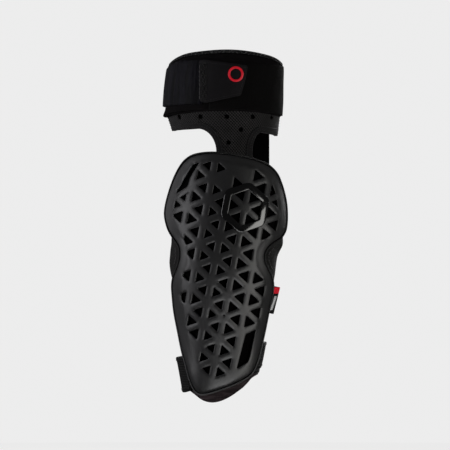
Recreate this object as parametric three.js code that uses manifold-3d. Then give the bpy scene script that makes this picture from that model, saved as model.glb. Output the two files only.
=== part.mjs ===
import * as THREE from "three";
import { mergeVertices } from "three/addons/utils/BufferGeometryUtils.js";
import Module from "manifold-3d";

// Elbow guard: a hard lattice shell over a foam pad, on a knitted sleeve that hangs by a
// perforated yoke and a back panel from a padded cuff, which a strap closes round the upper arm.
// Frame: +Z runs up the arm, -Y out through the point of the elbow, and the origin is the centre
// of the arm at the elbow. Lengths are millimetres. Angles are degrees round the arm, from the
// front (-Y) towards +X. "Out" is a distance outwards from the skin of the arm.

// Heights along the arm
const shellAbove = 62.5; // elbow centre up to the shell's top edge
const shellBelow = 176.5; // elbow centre down to the shell's bottom edge
const neckHeight = 38; // shell's top edge up to the cuff
const strapRise = 8; // strap above the cuff's lower edge
const strapWidth = 44;
const cuffTopHeight = 10.5; // cuff above the strap, with its arch
const lipDropHeight = 10; // wrist lip below the shell
const cuffHeight = strapRise + strapWidth + cuffTopHeight;
const upperReach = shellAbove + neckHeight + cuffHeight;
const lowerReach = shellBelow + lipDropHeight;
const cuffBottom = shellAbove + neckHeight;

// The arm, and what is layered on it
const elbowHalfWidth = 50;
const elbowHalfDepth = 49;
const seam = 0.3; // between pieces that are sewn or moulded edge to edge
const layerGap = 1; // between the sleeve and the pad on it
const sleeveWall = 2;
const padThickness = 8;
const shellWall = 3.2;

// Shell
const shellWrapAngle = 65.5; // how far round the arm it reaches at its widest
const capBulge = 3; // extra room at the point of the elbow
const capSpread = 32; // height over which the bulge fades
const topRoll = 3; // how far the top edge tucks in
const bottomRoll = 3;
const borderWidth = 9.3; // plain border round the lattice, piping included
const borderDrop = 1.6; // how far the border falls away from the lattice
const pipingRadius = 0.8;
const pipingDepth = 0.4; // its middle below the border's face
const shellOut = sleeveWall + layerGap + padThickness + seam + shellWall;
const shellHalfWidth =
  (elbowHalfWidth + shellOut + capBulge) * Math.sin(THREE.MathUtils.degToRad(shellWrapAngle));

// Lattice of ribs, as it is seen from the front
const latticeAcross = 21.8;
const latticeRise = 18.6; // angle of the ribs that run across
const latticeDown = 22.1;
const latticeLean = 11; // angle of the ribs that run down
const latticeNodeSide = -5; // one node, from the elbow centre
const latticeNodeDrop = 21.4;
const ribWidth = 7.2;
const leastWindow = 0.35; // smaller remainders of a window stay closed
const inlayWidth = 6.8; // raised gloss hexagon round one node
const inlayRise = 1.2;

// Cuff and its strap
const cuffWall = 4;
const cuffArch = 1.5; // the cuff's lower edge is higher at the front
const cuffSideDrop = 13; // its top edge falls by this to the sides
const cuffArchPower = 1.6;
const bindingHeight = 4;
const bindingProud = 0.8;
const strapThickness = 1.6;
const loopRise = 1.5;
const strapMargin = 5.5; // strap below the cuff's top edge
const strapJoin = -16; // angle where the elastic meets the loop panel
const strapBack = 170; // angle where both are sewn down at the back
const tabLength = 48.5;
const tabStart = -25.7; // sideways place of the tab's sewn end
const tabThickness = 1.4;

// Yoke, its bound edges, and the back panel
const yokeWall = 2.5;
const yokeTuck = 12; // yoke under the shell's top edge
const yokeEnd = 100; // angle where the skirt ends, left and right
const neckWidth = 35.6;
const neckSide = 9.2;
const edgeBinding = 6.5;
const notchLeft = { drop: 15, across: 18.5, down: 23 }; // drop below the cuff, corner radii
const notchRight = { drop: 18.5, across: 10, down: 20 };
const holeRadius = 2.4;
const holeTurn = 28.4; // angle between holes in a row
const holeRow = 12.8; // height between rows
const holeFirst = 3.4; // angle of the hole nearest the front
const holeInset = 3; // first row below the cuff
const backPanelWall = 1.8;
const backPanelWidth = 40.6;
const backPanelSide = 23.3;

// Wrist end
const wristHeight = 20; // sleeve's front edge above the lip's lowest point
const wristSlant = 8; // the wrist edge is lower on the left
const lipWall = 2;
const lipHeight = 19.7;
const forearmStrapWidth = 31;
const forearmStrapThickness = 3;
const forearmStrapHeight = 38; // its middle above the lip's lowest point
const forearmStrapLeft = 54; // angles where it goes under the pad
const forearmStrapRight = 56;
const labelWidth = 7.3;
const labelHeight = 27;
const labelTop = 71; // below the elbow centre
const labelThickness = 0.8;

const angleStep = 12; // facets round the arm
const halfTurn = 180;
const panelTurn = 120; // turn round the back that the back panel is cut from
const panelLean = 30; // that turn's middle is this far towards the right
const rad = THREE.MathUtils.degToRad;

// Sections of the arm from wrist to shoulder. height is a share of the reach below (-) or above
// the elbow; side and back shift the centre, and width and depth are the half sizes, as shares
// of the elbow's half width and half depth.
const armSections = [
  { height: -1, side: -0.08, back: 0.67, width: 0.65, depth: 0.63 },
  { height: -0.8, side: -0.05, back: 0.51, width: 0.73, depth: 0.7 },
  { height: -0.615, side: -0.05, back: 0.35, width: 0.81, depth: 0.785 },
  { height: -0.4, side: -0.03, back: 0.16, width: 0.94, depth: 0.9 },
  { height: -0.24, side: -0.02, back: 0.06, width: 1.01, depth: 0.97 },
  { height: 0, side: 0, back: 0, width: 1, depth: 1 },
  { height: 0.18, side: 0.01, back: 0.02, width: 0.96, depth: 0.98 },
  { height: 0.38, side: 0.02, back: 0.05, width: 0.94, depth: 0.95 },
  { height: 0.52, side: 0, back: 0.08, width: 1, depth: 0.95 },
  { height: 0.63, side: -0.03, back: 0.1, width: 1.07, depth: 0.97 },
  { height: 0.86, side: 0, back: 0.14, width: 1.06, depth: 0.97 },
  { height: 1, side: 0.04, back: 0.18, width: 1.02, depth: 0.93 },
];

// The shell's edge from top to bottom, piping included: height as a share of the shell's reach
// above or below the elbow, left and right as shares of its half width.
const shellRows = [
  { height: 1, left: -0.29, right: -0.1 },
  { height: 0.965, left: -0.444, right: 0.177 },
  { height: 0.9, left: -0.556, right: 0.468 },
  { height: 0.807, left: -0.661, right: 0.685 },
  { height: 0.672, left: -0.75, right: 0.835 },
  { height: 0.514, left: -0.834, right: 0.913 },
  { height: 0.34, left: -0.91, right: 0.965 },
  { height: 0.17, left: -0.965, right: 1 },
  { height: 0.01, left: -0.984, right: 1.015 },
  { height: -0.05, left: -0.955, right: 1.008 },
  { height: -0.095, left: -0.9, right: 0.971 },
  { height: -0.135, left: -0.829, right: 0.892 },
  { height: -0.174, left: -0.773, right: 0.755 },
  { height: -0.213, left: -0.75, right: 0.669 },
  { height: -0.258, left: -0.765, right: 0.666 },
  { height: -0.303, left: -0.806, right: 0.723 },
  { height: -0.348, left: -0.855, right: 0.777 },
  { height: -0.398, left: -0.876, right: 0.8 },
  { height: -0.46, left: -0.866, right: 0.781 },
  { height: -0.55, left: -0.823, right: 0.719 },
  { height: -0.662, left: -0.758, right: 0.652 },
  { height: -0.774, left: -0.694, right: 0.581 },
  { height: -0.847, left: -0.639, right: 0.516 },
  { height: -0.897, left: -0.6, right: 0.403 },
  { height: -0.948, left: -0.556, right: 0.121 },
  { height: -0.982, left: -0.5, right: -0.145 },
  { height: -1, left: -0.419, right: -0.323 },
];

// Two long slots in the lattice, corner by corner, in steps across and down from its node.
const slots = {
  upper: [
    { across: -1.8, down: -3.92 },
    { across: -2.02, down: -3.92 },
    { across: -2.7, down: -2.8 },
    { across: -2.165, down: -2.99 },
    { across: -2.125, down: -3.39 },
  ],
  lower: [
    { across: 2.8, down: 5.17 },
    { across: 2.32, down: 5.245 },
    { across: 2.2, down: 6.776 },
    { across: 2.7, down: 6.635 },
    { across: 2.76, down: 6.36 },
  ],
};
const closedWindows = ["-1,-3,a", "0,-3,a"]; // plain patch above the inlay
const inlayNode = { across: 1, down: -1 };

// The hook tab seen from the front: along is a share of its length, up of half the strap width.
const tabOutline = [
  { along: 0, up: 0.98 },
  { along: 0.07, up: 1 },
  { along: 1, up: 0.73 },
  { along: 0.965, up: 0.19 },
  { along: 0.857, up: -0.62 },
  { along: 0.185, up: -0.94 },
  { along: 0.02, up: -0.92 },
];

// The sleeve's top edge round the arm: how far it dips below the yoke's hem, as a share of
// shellAbove.
const sleeveDips = [
  { angle: -180, dip: 0.13 },
  { angle: -135, dip: 0.3 },
  { angle: -90, dip: 0.45 },
  { angle: -50, dip: 0.18 },
  { angle: -16, dip: 0 },
  { angle: 38, dip: 0 },
  { angle: 60, dip: 0.08 },
  { angle: 90, dip: 0.22 },
  { angle: 120, dip: 0.13 },
  { angle: 180, dip: 0.13 },
];

// The wrist lip's lower edge: its height at each angle as a share of lipHeight.
const lipEdge = [
  { angle: -70, drop: 0.08 },
  { angle: -61, drop: 0.23 },
  { angle: -40, drop: 0.59 },
  { angle: -24, drop: 0.83 },
  { angle: -12, drop: 0.95 },
  { angle: 1, drop: 1 },
  { angle: 22, drop: 0.9 },
  { angle: 45, drop: 0.72 },
  { angle: 63, drop: 0.45 },
  { angle: 76, drop: 0.2 },
];

const wasm = await Module();
wasm.setup();

// A smooth curve through the rows' values, read at a place between them.
function smooth(rows, place, key, at) {
  let i = 0;
  while (i < rows.length - 2 && at > rows[i + 1][place]) i += 1;
  const slope = (k) => {
    const before = rows[Math.max(k - 1, 0)];
    const after = rows[Math.min(k + 1, rows.length - 1)];
    return (after[key] - before[key]) / (after[place] - before[place]);
  };
  const span = rows[i + 1][place] - rows[i][place];
  const t = THREE.MathUtils.clamp((at - rows[i][place]) / span, 0, 1);
  const rise = rows[i + 1][key] - rows[i][key];
  const c = slope(i) * span;
  const d = slope(i + 1) * span;
  return rows[i][key] + t * (c + t * (3 * rise - 2 * c - d + t * (c + d - 2 * rise)));
}

// The rows' values joined by straight lines.
function straight(rows, place, key, at) {
  let i = 0;
  while (i < rows.length - 2 && at > rows[i + 1][place]) i += 1;
  const t = (at - rows[i][place]) / (rows[i + 1][place] - rows[i][place]);
  return THREE.MathUtils.lerp(rows[i][key], rows[i + 1][key], THREE.MathUtils.clamp(t, 0, 1));
}

function armAt(z) {
  const height = z < 0 ? z / lowerReach : z / upperReach;
  const share = (key) => smooth(armSections, "height", key, height);
  return {
    x: share("side") * elbowHalfWidth,
    y: share("back") * elbowHalfDepth,
    width: share("width") * elbowHalfWidth,
    depth: share("depth") * elbowHalfDepth,
  };
}

function onArm(angle, z, out) {
  const arm = armAt(z);
  const turn = rad(angle);
  return new THREE.Vector3(
    arm.x + (arm.width + out) * Math.sin(turn),
    arm.y - (arm.depth + out) * Math.cos(turn),
    z,
  );
}

function geometryOf(points, triangles) {
  const geometry = new THREE.BufferGeometry().setFromPoints(points);
  geometry.setIndex(triangles.flat());
  return geometry;
}

// Gives a sheet its thickness: each vertex has an outer and an inner point, and the sheet's free
// edges are closed by walls.
function thicken(vertices, triangles) {
  const count = vertices.length;
  const points = [...vertices.map((v) => v.outer), ...vertices.map((v) => v.inner)];
  const edges = new Set(triangles.flatMap(([a, b, c]) => [`${a},${b}`, `${b},${c}`, `${c},${a}`]));
  const faces = [];
  for (const [a, b, c] of triangles) {
    faces.push([a, b, c], [a + count, c + count, b + count]);
    for (const [from, to] of [[a, b], [b, c], [c, a]]) {
      if (!edges.has(`${to},${from}`)) {
        faces.push([to, from, from + count], [to, from + count, to + count]);
      }
    }
  }
  return geometryOf(points, faces);
}

// A wall round the arm between two angles, and between its low and high edges.
function armWall({ from, to, levels, low, high, inner, outer }) {
  const angles = [from];
  for (let a = (Math.floor(from / angleStep) + 1) * angleStep; a < to; a += angleStep) angles.push(a);
  const closed = to - from === 2 * halfTurn;
  if (!closed) angles.push(to);
  const vertices = [];
  for (const angle of angles) {
    for (let level = 0; level <= levels; level += 1) {
      const z = THREE.MathUtils.lerp(low(angle), high(angle), level / levels);
      vertices.push({ outer: onArm(angle, z, outer), inner: onArm(angle, z, inner) });
    }
  }
  const triangles = [];
  const rows = levels + 1;
  const spans = closed ? angles.length : angles.length - 1;
  for (let i = 0; i < spans; i += 1) {
    for (let level = 0; level < levels; level += 1) {
      const a = i * rows + level;
      const b = ((i + 1) % angles.length) * rows + level;
      triangles.push([a, b, b + 1], [a, b + 1, a + 1]);
    }
  }
  return thicken(vertices, triangles);
}

function solidOf(geometry) {
  const bare = geometry.clone();
  bare.deleteAttribute("normal");
  bare.deleteAttribute("uv");
  const merged = mergeVertices(bare, 1e-4);
  return new wasm.Manifold(
    new wasm.Mesh({
      numProp: 3,
      vertProperties: merged.attributes.position.array,
      triVerts: new Uint32Array(merged.index.array),
    }),
  );
}

function geometryFrom(solid) {
  const mesh = solid.getMesh();
  const points = [];
  for (let i = 0; i < mesh.numVert; i += 1) {
    points.push(new THREE.Vector3().fromArray(mesh.vertProperties, i * mesh.numProp));
  }
  return new THREE.BufferGeometry()
    .setFromPoints(points)
    .setIndex(new THREE.BufferAttribute(mesh.triVerts, 1));
}

// A block whose outline is drawn in the front view, as {x, z} points, and which runs from front
// to back through the whole guard.
function frontPrism(outline) {
  const through = 2 * (elbowHalfDepth + shellOut + capBulge) + lowerReach;
  const shape = new THREE.Shape(outline.map((p) => new THREE.Vector2(p.x, p.z)));
  const block = new THREE.ExtrudeGeometry(shape, { depth: through, bevelEnabled: false });
  return solidOf(block.rotateX(Math.PI / 2).translate(0, through / 2, 0));
}

// The shell's outline, as left and right rows of {x, z} points, drawn in by a distance: along the
// curved face for the edges, or as it is seen from the front for the lattice field.
function shellOutline(inset, alongFace) {
  const point = (row, side) => ({
    x: row[side] * shellHalfWidth,
    z: row.height * (row.height > 0 ? shellAbove : shellBelow),
  });
  const count = shellRows.length;
  const loop = [
    ...shellRows.map((row) => point(row, "right")),
    ...[...shellRows].reverse().map((row) => point(row, "left")),
  ];
  const moved = loop.map((p, i) => {
    const before = loop.at(i - 1);
    const after = loop[(i + 1) % loop.length];
    const arm = armAt(p.z);
    const aside = (p.x - arm.x) / (arm.width + shellOutAt(p.z) - borderDrop);
    const lean = alongFace ? Math.sqrt(1 - aside ** 2) : 1;
    const along = new THREE.Vector2((after.x - before.x) / lean, after.z - before.z).normalize();
    return { x: p.x + along.y * inset * lean, z: p.z - along.x * inset };
  });
  return { right: moved.slice(0, count), left: moved.slice(count).reverse() };
}

// How far out the shell's face lies at a height, before the border falls away.
function shellOutAt(z) {
  const bulge = capBulge * Math.exp(-((z / capSpread) ** 2));
  const nearTop = Math.max(0, z / shellAbove - 0.5) / 0.5;
  const nearBottom = Math.max(0, -z / shellBelow - 0.86) / 0.14;
  return shellOut + bulge - topRoll * nearTop ** 2 - bottomRoll * nearBottom ** 2;
}

// A sheet over the shell's whole outline, with the lattice field and the border as its parts.
// layer(z, out) gives its inner and outer distances, where out is the shell's face.
function shellSheet(inset, layer) {
  const columns = 10;
  const spread = rad(55);
  const edge = shellOutline(inset, true);
  const field = shellOutline(borderWidth, false);
  const last = shellRows.length - 1;
  const vertices = [];
  const add = (p, drop) => {
    const out = shellOutAt(p.z) - drop;
    const arm = armAt(p.z);
    const angle = THREE.MathUtils.radToDeg(Math.asin((p.x - arm.x) / (arm.width + out)));
    const [inner, outer] = layer(p.z, out);
    vertices.push({ inner: onArm(angle, p.z, inner), outer: onArm(angle, p.z, outer) });
    return vertices.length - 1;
  };
  const across = (a, b, drop) => {
    const row = [];
    for (let c = 0; c <= columns; c += 1) {
      const share = 0.5 + 0.5 * (Math.sin(spread * ((2 * c) / columns - 1)) / Math.sin(spread));
      const p = { x: THREE.MathUtils.lerp(a.x, b.x, share), z: THREE.MathUtils.lerp(a.z, b.z, share) };
      row.push(add(p, drop));
    }
    return row;
  };
  const rows = [];
  for (let r = 1; r < last; r += 1) {
    const inside = across(field.left[r], field.right[r], 0);
    rows.push([add(edge.left[r], borderDrop), ...inside, add(edge.right[r], borderDrop)]);
  }
  const top = across(edge.left[0], edge.right[0], borderDrop);
  const bottom = across(edge.left[last], edge.right[last], borderDrop);
  const triangles = [];
  const quad = (a, b, c, d) => triangles.push([a, b, c], [a, c, d]);
  for (let r = 0; r < rows.length - 1; r += 1) {
    for (let c = 0; c < rows[r].length - 1; c += 1) {
      quad(rows[r + 1][c], rows[r + 1][c + 1], rows[r][c + 1], rows[r][c]);
    }
  }
  const first = rows[0];
  const end = rows.at(-1);
  for (let c = 0; c < columns; c += 1) {
    quad(first[c + 1], first[c + 2], top[c + 1], top[c]);
    quad(bottom[c], bottom[c + 1], end[c + 2], end[c + 1]);
  }
  triangles.push([first[0], first[1], top[0]], [first.at(-2), first.at(-1), top.at(-1)]);
  triangles.push([end[0], bottom[0], end[1]], [end.at(-2), bottom.at(-1), end.at(-1)]);
  return thicken(vertices, triangles);
}

function latticePoint(across, down) {
  const rise = rad(latticeRise);
  const lean = rad(latticeLean);
  return {
    x: latticeNodeSide + across * latticeAcross * Math.cos(rise) - down * latticeDown * Math.sin(lean),
    z: -latticeNodeDrop + across * latticeAcross * Math.sin(rise) - down * latticeDown * Math.cos(lean),
  };
}

// A triangle drawn in on all sides by a distance.
function drawnIn(corners, distance) {
  const length = (p, q) => Math.hypot(p.x - q.x, p.z - q.z);
  const sides = corners.map((_, i) => length(corners[(i + 1) % 3], corners[(i + 2) % 3]));
  const round = sides[0] + sides[1] + sides[2];
  const middle = (key) => corners.reduce((sum, p, i) => sum + p[key] * sides[i], 0) / round;
  const [a, b, c] = corners;
  const area = Math.abs((b.x - a.x) * (c.z - a.z) - (c.x - a.x) * (b.z - a.z)) / 2;
  const share = 1 - (distance * round) / (2 * area);
  const inwards = (p, key) => middle(key) + (p[key] - middle(key)) * share;
  return corners.map((p) => ({ x: inwards(p, "x"), z: inwards(p, "z") }));
}

function slotCorners(slot, grow) {
  const corners = slot.map((p) => latticePoint(p.across, p.down));
  const middle = (key) => corners.reduce((sum, p) => sum + p[key], 0) / corners.length;
  const centre = { x: middle("x"), z: middle("z") };
  return corners.map((p) => {
    const away = Math.hypot(p.x - centre.x, p.z - centre.z);
    const share = 1 + grow / away;
    return { x: centre.x + (p.x - centre.x) * share, z: centre.z + (p.z - centre.z) * share };
  });
}

// Everything that is cut through the shell: the windows between the ribs and the two slots.
function shellOpenings() {
  const loop = shellOutline(borderWidth, false);
  const field = frontPrism([...loop.right, ...[...loop.left].reverse()]);
  const guards = Object.values(slots).map((slot) => frontPrism(slotCorners(slot, ribWidth)));
  const steps = Math.ceil((shellBelow + shellAbove) / Math.min(latticeAcross, latticeDown));
  const farSide = shellHalfWidth + latticeAcross;
  const cut = [];
  for (let i = -steps; i <= steps; i += 1) {
    for (let j = -steps; j <= steps; j += 1) {
      const near = latticePoint(i, j);
      if (Math.abs(near.x) > farSide || near.z > shellAbove + farSide) continue;
      if (near.z < -shellBelow - latticeDown) continue;
      const far = latticePoint(i + 1, j + 1);
      const pair = { a: [near, latticePoint(i + 1, j), far], b: [near, far, latticePoint(i, j + 1)] };
      for (const [half, corners] of Object.entries(pair)) {
        if (closedWindows.includes(`${i},${j},${half}`)) continue;
        const whole = frontPrism(drawnIn(corners, ribWidth / 2));
        const part = guards.reduce((left, guard) => left.subtract(guard), whole.intersect(field));
        if (part.volume() > leastWindow * whole.volume()) cut.push(part);
      }
    }
  }
  const long = Object.values(slots).map((slot) => frontPrism(slotCorners(slot, 0)).intersect(field));
  return [...cut, ...long];
}

function latticeShell() {
  const edge = 2 * pipingRadius + seam;
  const sheet = solidOf(shellSheet(edge, (z, out) => [out - shellWall, out]));
  return geometryFrom(shellOpenings().reduce((left, hole) => left.subtract(hole), sheet));
}

// The pad fills the room between the sleeve and the shell, and makes way for the yoke on top.
function foamPad() {
  const edge = 2 * pipingRadius + seam;
  const underYoke = yokeWall + bindingProud + layerGap;
  return shellSheet(edge, (z, out) => {
    const share = THREE.MathUtils.smoothstep(z, shellAbove - 2 * yokeTuck, shellAbove - yokeTuck);
    const inner = THREE.MathUtils.lerp(sleeveWall + layerGap, underYoke, share);
    return [inner, out - shellWall - seam];
  });
}

// Piping sewn round the pad's edge, outside the shell.
function padPiping() {
  const sides = 6;
  const loop = shellOutline(pipingRadius, true);
  const plan = [...loop.right, ...[...loop.left].reverse()];
  const centres = plan.map((p) => {
    const out = shellOutAt(p.z) - borderDrop - pipingDepth;
    const arm = armAt(p.z);
    const angle = THREE.MathUtils.radToDeg(Math.asin((p.x - arm.x) / (arm.width + out)));
    return { angle, at: onArm(angle, p.z, out) };
  });
  const points = centres.flatMap(({ angle, at }, i) => {
    const before = centres.at(i - 1).at;
    const after = centres[(i + 1) % centres.length].at;
    const along = after.clone().sub(before).normalize();
    const outwards = new THREE.Vector3(Math.sin(rad(angle)), -Math.cos(rad(angle)), 0);
    const across = along.clone().cross(outwards).normalize();
    const up = across.clone().cross(along);
    return Array.from({ length: sides }, (_, k) => {
      const turn = (2 * Math.PI * k) / sides;
      return at
        .clone()
        .addScaledVector(up, pipingRadius * Math.cos(turn))
        .addScaledVector(across, pipingRadius * Math.sin(turn));
    });
  });
  const triangles = [];
  for (let i = 0; i < centres.length; i += 1) {
    for (let k = 0; k < sides; k += 1) {
      const a = i * sides + k;
      const b = i * sides + ((k + 1) % sides);
      const next = ((i + 1) % centres.length) * sides;
      const c = next + (a % sides);
      const d = next + (b % sides);
      triangles.push([a, d, c], [a, b, d]);
    }
  }
  return geometryOf(points, triangles);
}

// A raised hexagon whose bars run along the six ribs round one node.
function glossInlay() {
  const { across, down } = inlayNode;
  const round = [[1, 0], [1, 1], [0, 1], [-1, 0], [-1, -1], [0, -1]];
  const centre = latticePoint(across, down);
  const hexagon = (grow) =>
    round.map(([u, v]) => {
      const p = latticePoint(across + u, down + v);
      const share = 1 + grow / (Math.hypot(p.x - centre.x, p.z - centre.z) * Math.cos(rad(30)));
      return { x: centre.x + (p.x - centre.x) * share, z: centre.z + (p.z - centre.z) * share };
    });
  const edge = 2 * pipingRadius + seam;
  const skin = solidOf(shellSheet(edge, (z, out) => [out + seam, out + seam + inlayRise]));
  const bars = frontPrism(hexagon(inlayWidth / 2)).subtract(frontPrism(hexagon(-inlayWidth / 2)));
  return geometryFrom(skin.intersect(bars));
}

const cuffLow = (angle) => cuffBottom + cuffArch * Math.cos(rad(angle));
const cuffHigh = (angle) => {
  const front = Math.max(0, Math.cos(rad(angle))) ** cuffArchPower;
  return upperReach - cuffSideDrop * (1 - front);
};
const strapLow = (angle) => cuffLow(angle) + strapRise;
const strapHigh = (angle) => Math.min(strapLow(angle) + strapWidth, cuffHigh(angle) - strapMargin);
const loopLow = (angle) => cuffLow(angle) + loopRise;
const loopHigh = (angle) => Math.min(loopLow(angle) + strapWidth, cuffHigh(angle) - strapMargin);
const yokeHem = shellAbove - yokeTuck;
const sleeveTop = (angle) => {
  const turned = angle > halfTurn ? angle - 2 * halfTurn : angle;
  return yokeHem - seam - straight(sleeveDips, "angle", "dip", turned) * shellAbove;
};
const sleeveBottom = (angle) => -lowerReach + wristHeight + wristSlant * Math.sin(rad(angle));

function cuffBand() {
  const high = (angle) => cuffHigh(angle) - bindingHeight - seam;
  return armWall({ from: -halfTurn, to: halfTurn, levels: 3, low: cuffLow, high, inner: 0, outer: cuffWall });
}

function cuffBinding() {
  const low = (angle) => cuffHigh(angle) - bindingHeight;
  const outer = cuffWall + bindingProud;
  return armWall({ from: -halfTurn, to: halfTurn, levels: 1, low, high: cuffHigh, inner: -bindingProud, outer });
}

const strapLayer = { inner: cuffWall + seam, outer: cuffWall + seam + strapThickness };

function elasticStrap() {
  const span = { from: -strapBack, to: strapJoin };
  return armWall({ ...span, levels: 3, low: strapLow, high: strapHigh, ...strapLayer });
}

function loopPanel() {
  const span = { from: strapJoin + 2, to: strapBack };
  return armWall({ ...span, levels: 3, low: loopLow, high: loopHigh, ...strapLayer });
}

function hookTab() {
  const inner = strapLayer.outer + 2 * seam;
  const skin = armWall({
    from: -50,
    to: 50,
    levels: 4,
    low: () => cuffBottom,
    high: () => upperReach,
    inner,
    outer: inner + tabThickness,
  });
  const middle = strapLow(0) + strapWidth / 2;
  const outline = tabOutline.map((p) => ({
    x: tabStart + p.along * tabLength,
    z: middle + (p.up * strapWidth) / 2,
  }));
  return geometryFrom(solidOf(skin).intersect(frontPrism(outline)));
}

// The notch beside the neck, seen from the front: side is -1 on the left and 1 on the right, and
// grow widens it into the cloth.
function notchPrism(side, grow) {
  const notch = side < 0 ? notchLeft : notchRight;
  const edge = neckSide + (side * neckWidth) / 2;
  const flap = cuffBottom - notch.drop;
  const centre = { x: edge + side * notch.across, z: flap - notch.down };
  const beyond = side * (elbowHalfWidth + upperReach);
  const steps = 6;
  const corner = Array.from({ length: steps + 1 }, (_, i) => {
    const turn = ((i / steps) * Math.PI) / 2;
    return {
      x: centre.x - side * (notch.across + grow) * Math.sin(turn),
      z: centre.z + (notch.down + grow) * Math.cos(turn),
    };
  });
  const outline = [
    { x: beyond, z: flap + grow },
    ...corner,
    { x: edge - side * grow, z: -shellBelow },
    { x: beyond, z: -shellBelow },
  ];
  return frontPrism(side < 0 ? outline : outline.reverse());
}

function yokeSheet(inner, outer) {
  const high = (angle) => cuffLow(angle) - seam;
  const span = { from: -yokeEnd, to: yokeEnd, levels: 4 };
  return solidOf(armWall({ ...span, low: () => yokeHem, high, inner, outer }));
}

// Round holes through the yoke, in rows that are set off by half a space.
function yokeHoles() {
  const holes = [];
  const sides = 8;
  for (let row = 0; row * holeRow < neckHeight; row += 1) {
    const z = cuffBottom - holeInset - row * holeRow;
    const offset = row % 2 ? holeTurn / 2 : 0;
    const reach = row === 0 ? 2 : 1;
    for (let k = -reach; k <= reach; k += 1) {
      const angle = holeFirst + offset + k * holeTurn;
      const length = 4 * yokeWall;
      const pin = new THREE.CylinderGeometry(holeRadius, holeRadius, length, sides);
      pin.rotateZ(rad(angle)).translate(...onArm(angle, z, yokeWall / 2));
      holes.push(solidOf(pin));
    }
  }
  return holes;
}

function yokePanel() {
  const grow = edgeBinding + seam;
  const cuts = [notchPrism(-1, grow), notchPrism(1, grow), ...yokeHoles()];
  return geometryFrom(cuts.reduce((left, cut) => left.subtract(cut), yokeSheet(0, yokeWall)));
}

function yokeBinding(side) {
  const band = notchPrism(side, edgeBinding).subtract(notchPrism(side, 0));
  return geometryFrom(yokeSheet(-bindingProud, yokeWall + bindingProud).intersect(band));
}

function backPanel() {
  const wall = armWall({
    from: halfTurn - panelTurn / 2 - panelLean,
    to: halfTurn + panelTurn / 2 - panelLean,
    levels: 3,
    low: (angle) => sleeveTop(angle) + seam,
    high: (angle) => cuffLow(angle) - seam,
    inner: 0,
    outer: backPanelWall,
  });
  const left = backPanelSide - backPanelWidth / 2;
  const right = backPanelSide + backPanelWidth / 2;
  const strip = [
    { x: left, z: -lowerReach },
    { x: right, z: -lowerReach },
    { x: right, z: upperReach },
    { x: left, z: upperReach },
  ];
  return geometryFrom(solidOf(wall).intersect(frontPrism(strip)));
}

function sleeve() {
  return armWall({
    from: -halfTurn,
    to: halfTurn,
    levels: 7,
    low: sleeveBottom,
    high: sleeveTop,
    inner: 0,
    outer: sleeveWall,
  });
}

function wristLip() {
  return armWall({
    from: lipEdge[0].angle,
    to: lipEdge.at(-1).angle,
    levels: 2,
    low: (angle) => sleeveBottom(angle) - seam - straight(lipEdge, "angle", "drop", angle) * lipHeight,
    high: (angle) => sleeveBottom(angle) - seam,
    inner: 0,
    outer: lipWall,
  });
}

// The strap that closes the sleeve round the forearm, from under the pad on one side, round the
// back, to under the pad on the other.
function forearmStrap() {
  const middle = (angle) => -lowerReach + forearmStrapHeight + wristSlant * Math.sin(rad(angle));
  return armWall({
    from: forearmStrapRight,
    to: 2 * halfTurn - forearmStrapLeft,
    levels: 2,
    low: (angle) => middle(angle) - forearmStrapWidth / 2,
    high: (angle) => middle(angle) + forearmStrapWidth / 2,
    inner: sleeveWall + seam,
    outer: sleeveWall + seam + forearmStrapThickness,
  });
}

// A bare cloth tag that stands out of the sleeve's side seam.
function sideLabel() {
  const seamX = (z) => onArm(90, z, sleeveWall + seam).x;
  const top = -labelTop;
  const bottom = top - labelHeight;
  const slope = (seamX(top) - seamX(bottom)) / labelHeight;
  const outline = [
    new THREE.Vector2(seamX(bottom), bottom),
    new THREE.Vector2(seamX(bottom) + labelWidth, bottom - slope * labelWidth),
    new THREE.Vector2(seamX(top) + labelWidth, top - slope * labelWidth),
    new THREE.Vector2(seamX(top), top),
  ];
  const tag = new THREE.ExtrudeGeometry(new THREE.Shape(outline), {
    depth: labelThickness,
    bevelEnabled: false,
  });
  return tag.rotateX(Math.PI / 2).translate(0, armAt((top + bottom) / 2).y + labelThickness / 2, 0);
}

const finishes = {
  shell: { color: 0x333436, roughness: 0.42, metalness: 0 },
  gloss: { color: 0x0a0a0b, roughness: 0.1, metalness: 0 },
  foam: { color: 0x0d0d0e, roughness: 0.95, metalness: 0 },
  knit: { color: 0x19191b, roughness: 0.92, metalness: 0 },
  mesh: { color: 0x1d1c1d, roughness: 0.9, metalness: 0 },
  tape: { color: 0x151415, roughness: 0.85, metalness: 0 },
  elastic: { color: 0x101117, roughness: 0.55, metalness: 0 },
  loops: { color: 0x080707, roughness: 1, metalness: 0 },
  tab: { color: 0x17151a, roughness: 0.7, metalness: 0 },
  lip: { color: 0x231a1b, roughness: 0.9, metalness: 0 },
};

const pieces = [
  ["lattice_shell", latticeShell(), "shell"],
  ["gloss_inlay", glossInlay(), "gloss"],
  ["foam_pad", foamPad(), "foam"],
  ["pad_piping", padPiping(), "tape"],
  ["sleeve", sleeve(), "knit"],
  ["yoke", yokePanel(), "mesh"],
  ["yoke_binding_left", yokeBinding(-1), "tape"],
  ["yoke_binding_right", yokeBinding(1), "tape"],
  ["back_panel", backPanel(), "knit"],
  ["cuff_band", cuffBand(), "knit"],
  ["cuff_binding", cuffBinding(), "tape"],
  ["elastic_strap", elasticStrap(), "elastic"],
  ["loop_panel", loopPanel(), "loops"],
  ["hook_tab", hookTab(), "tab"],
  ["wrist_lip", wristLip(), "lip"],
  ["forearm_strap", forearmStrap(), "elastic"],
  ["side_label", sideLabel(), "tab"],
];

const guard = new THREE.Group();
for (const [name, geometry, finish] of pieces) {
  const mesh = new THREE.Mesh(geometry, new THREE.MeshStandardMaterial(finishes[finish]));
  mesh.name = name;
  guard.add(mesh);
}

export default guard;
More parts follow.
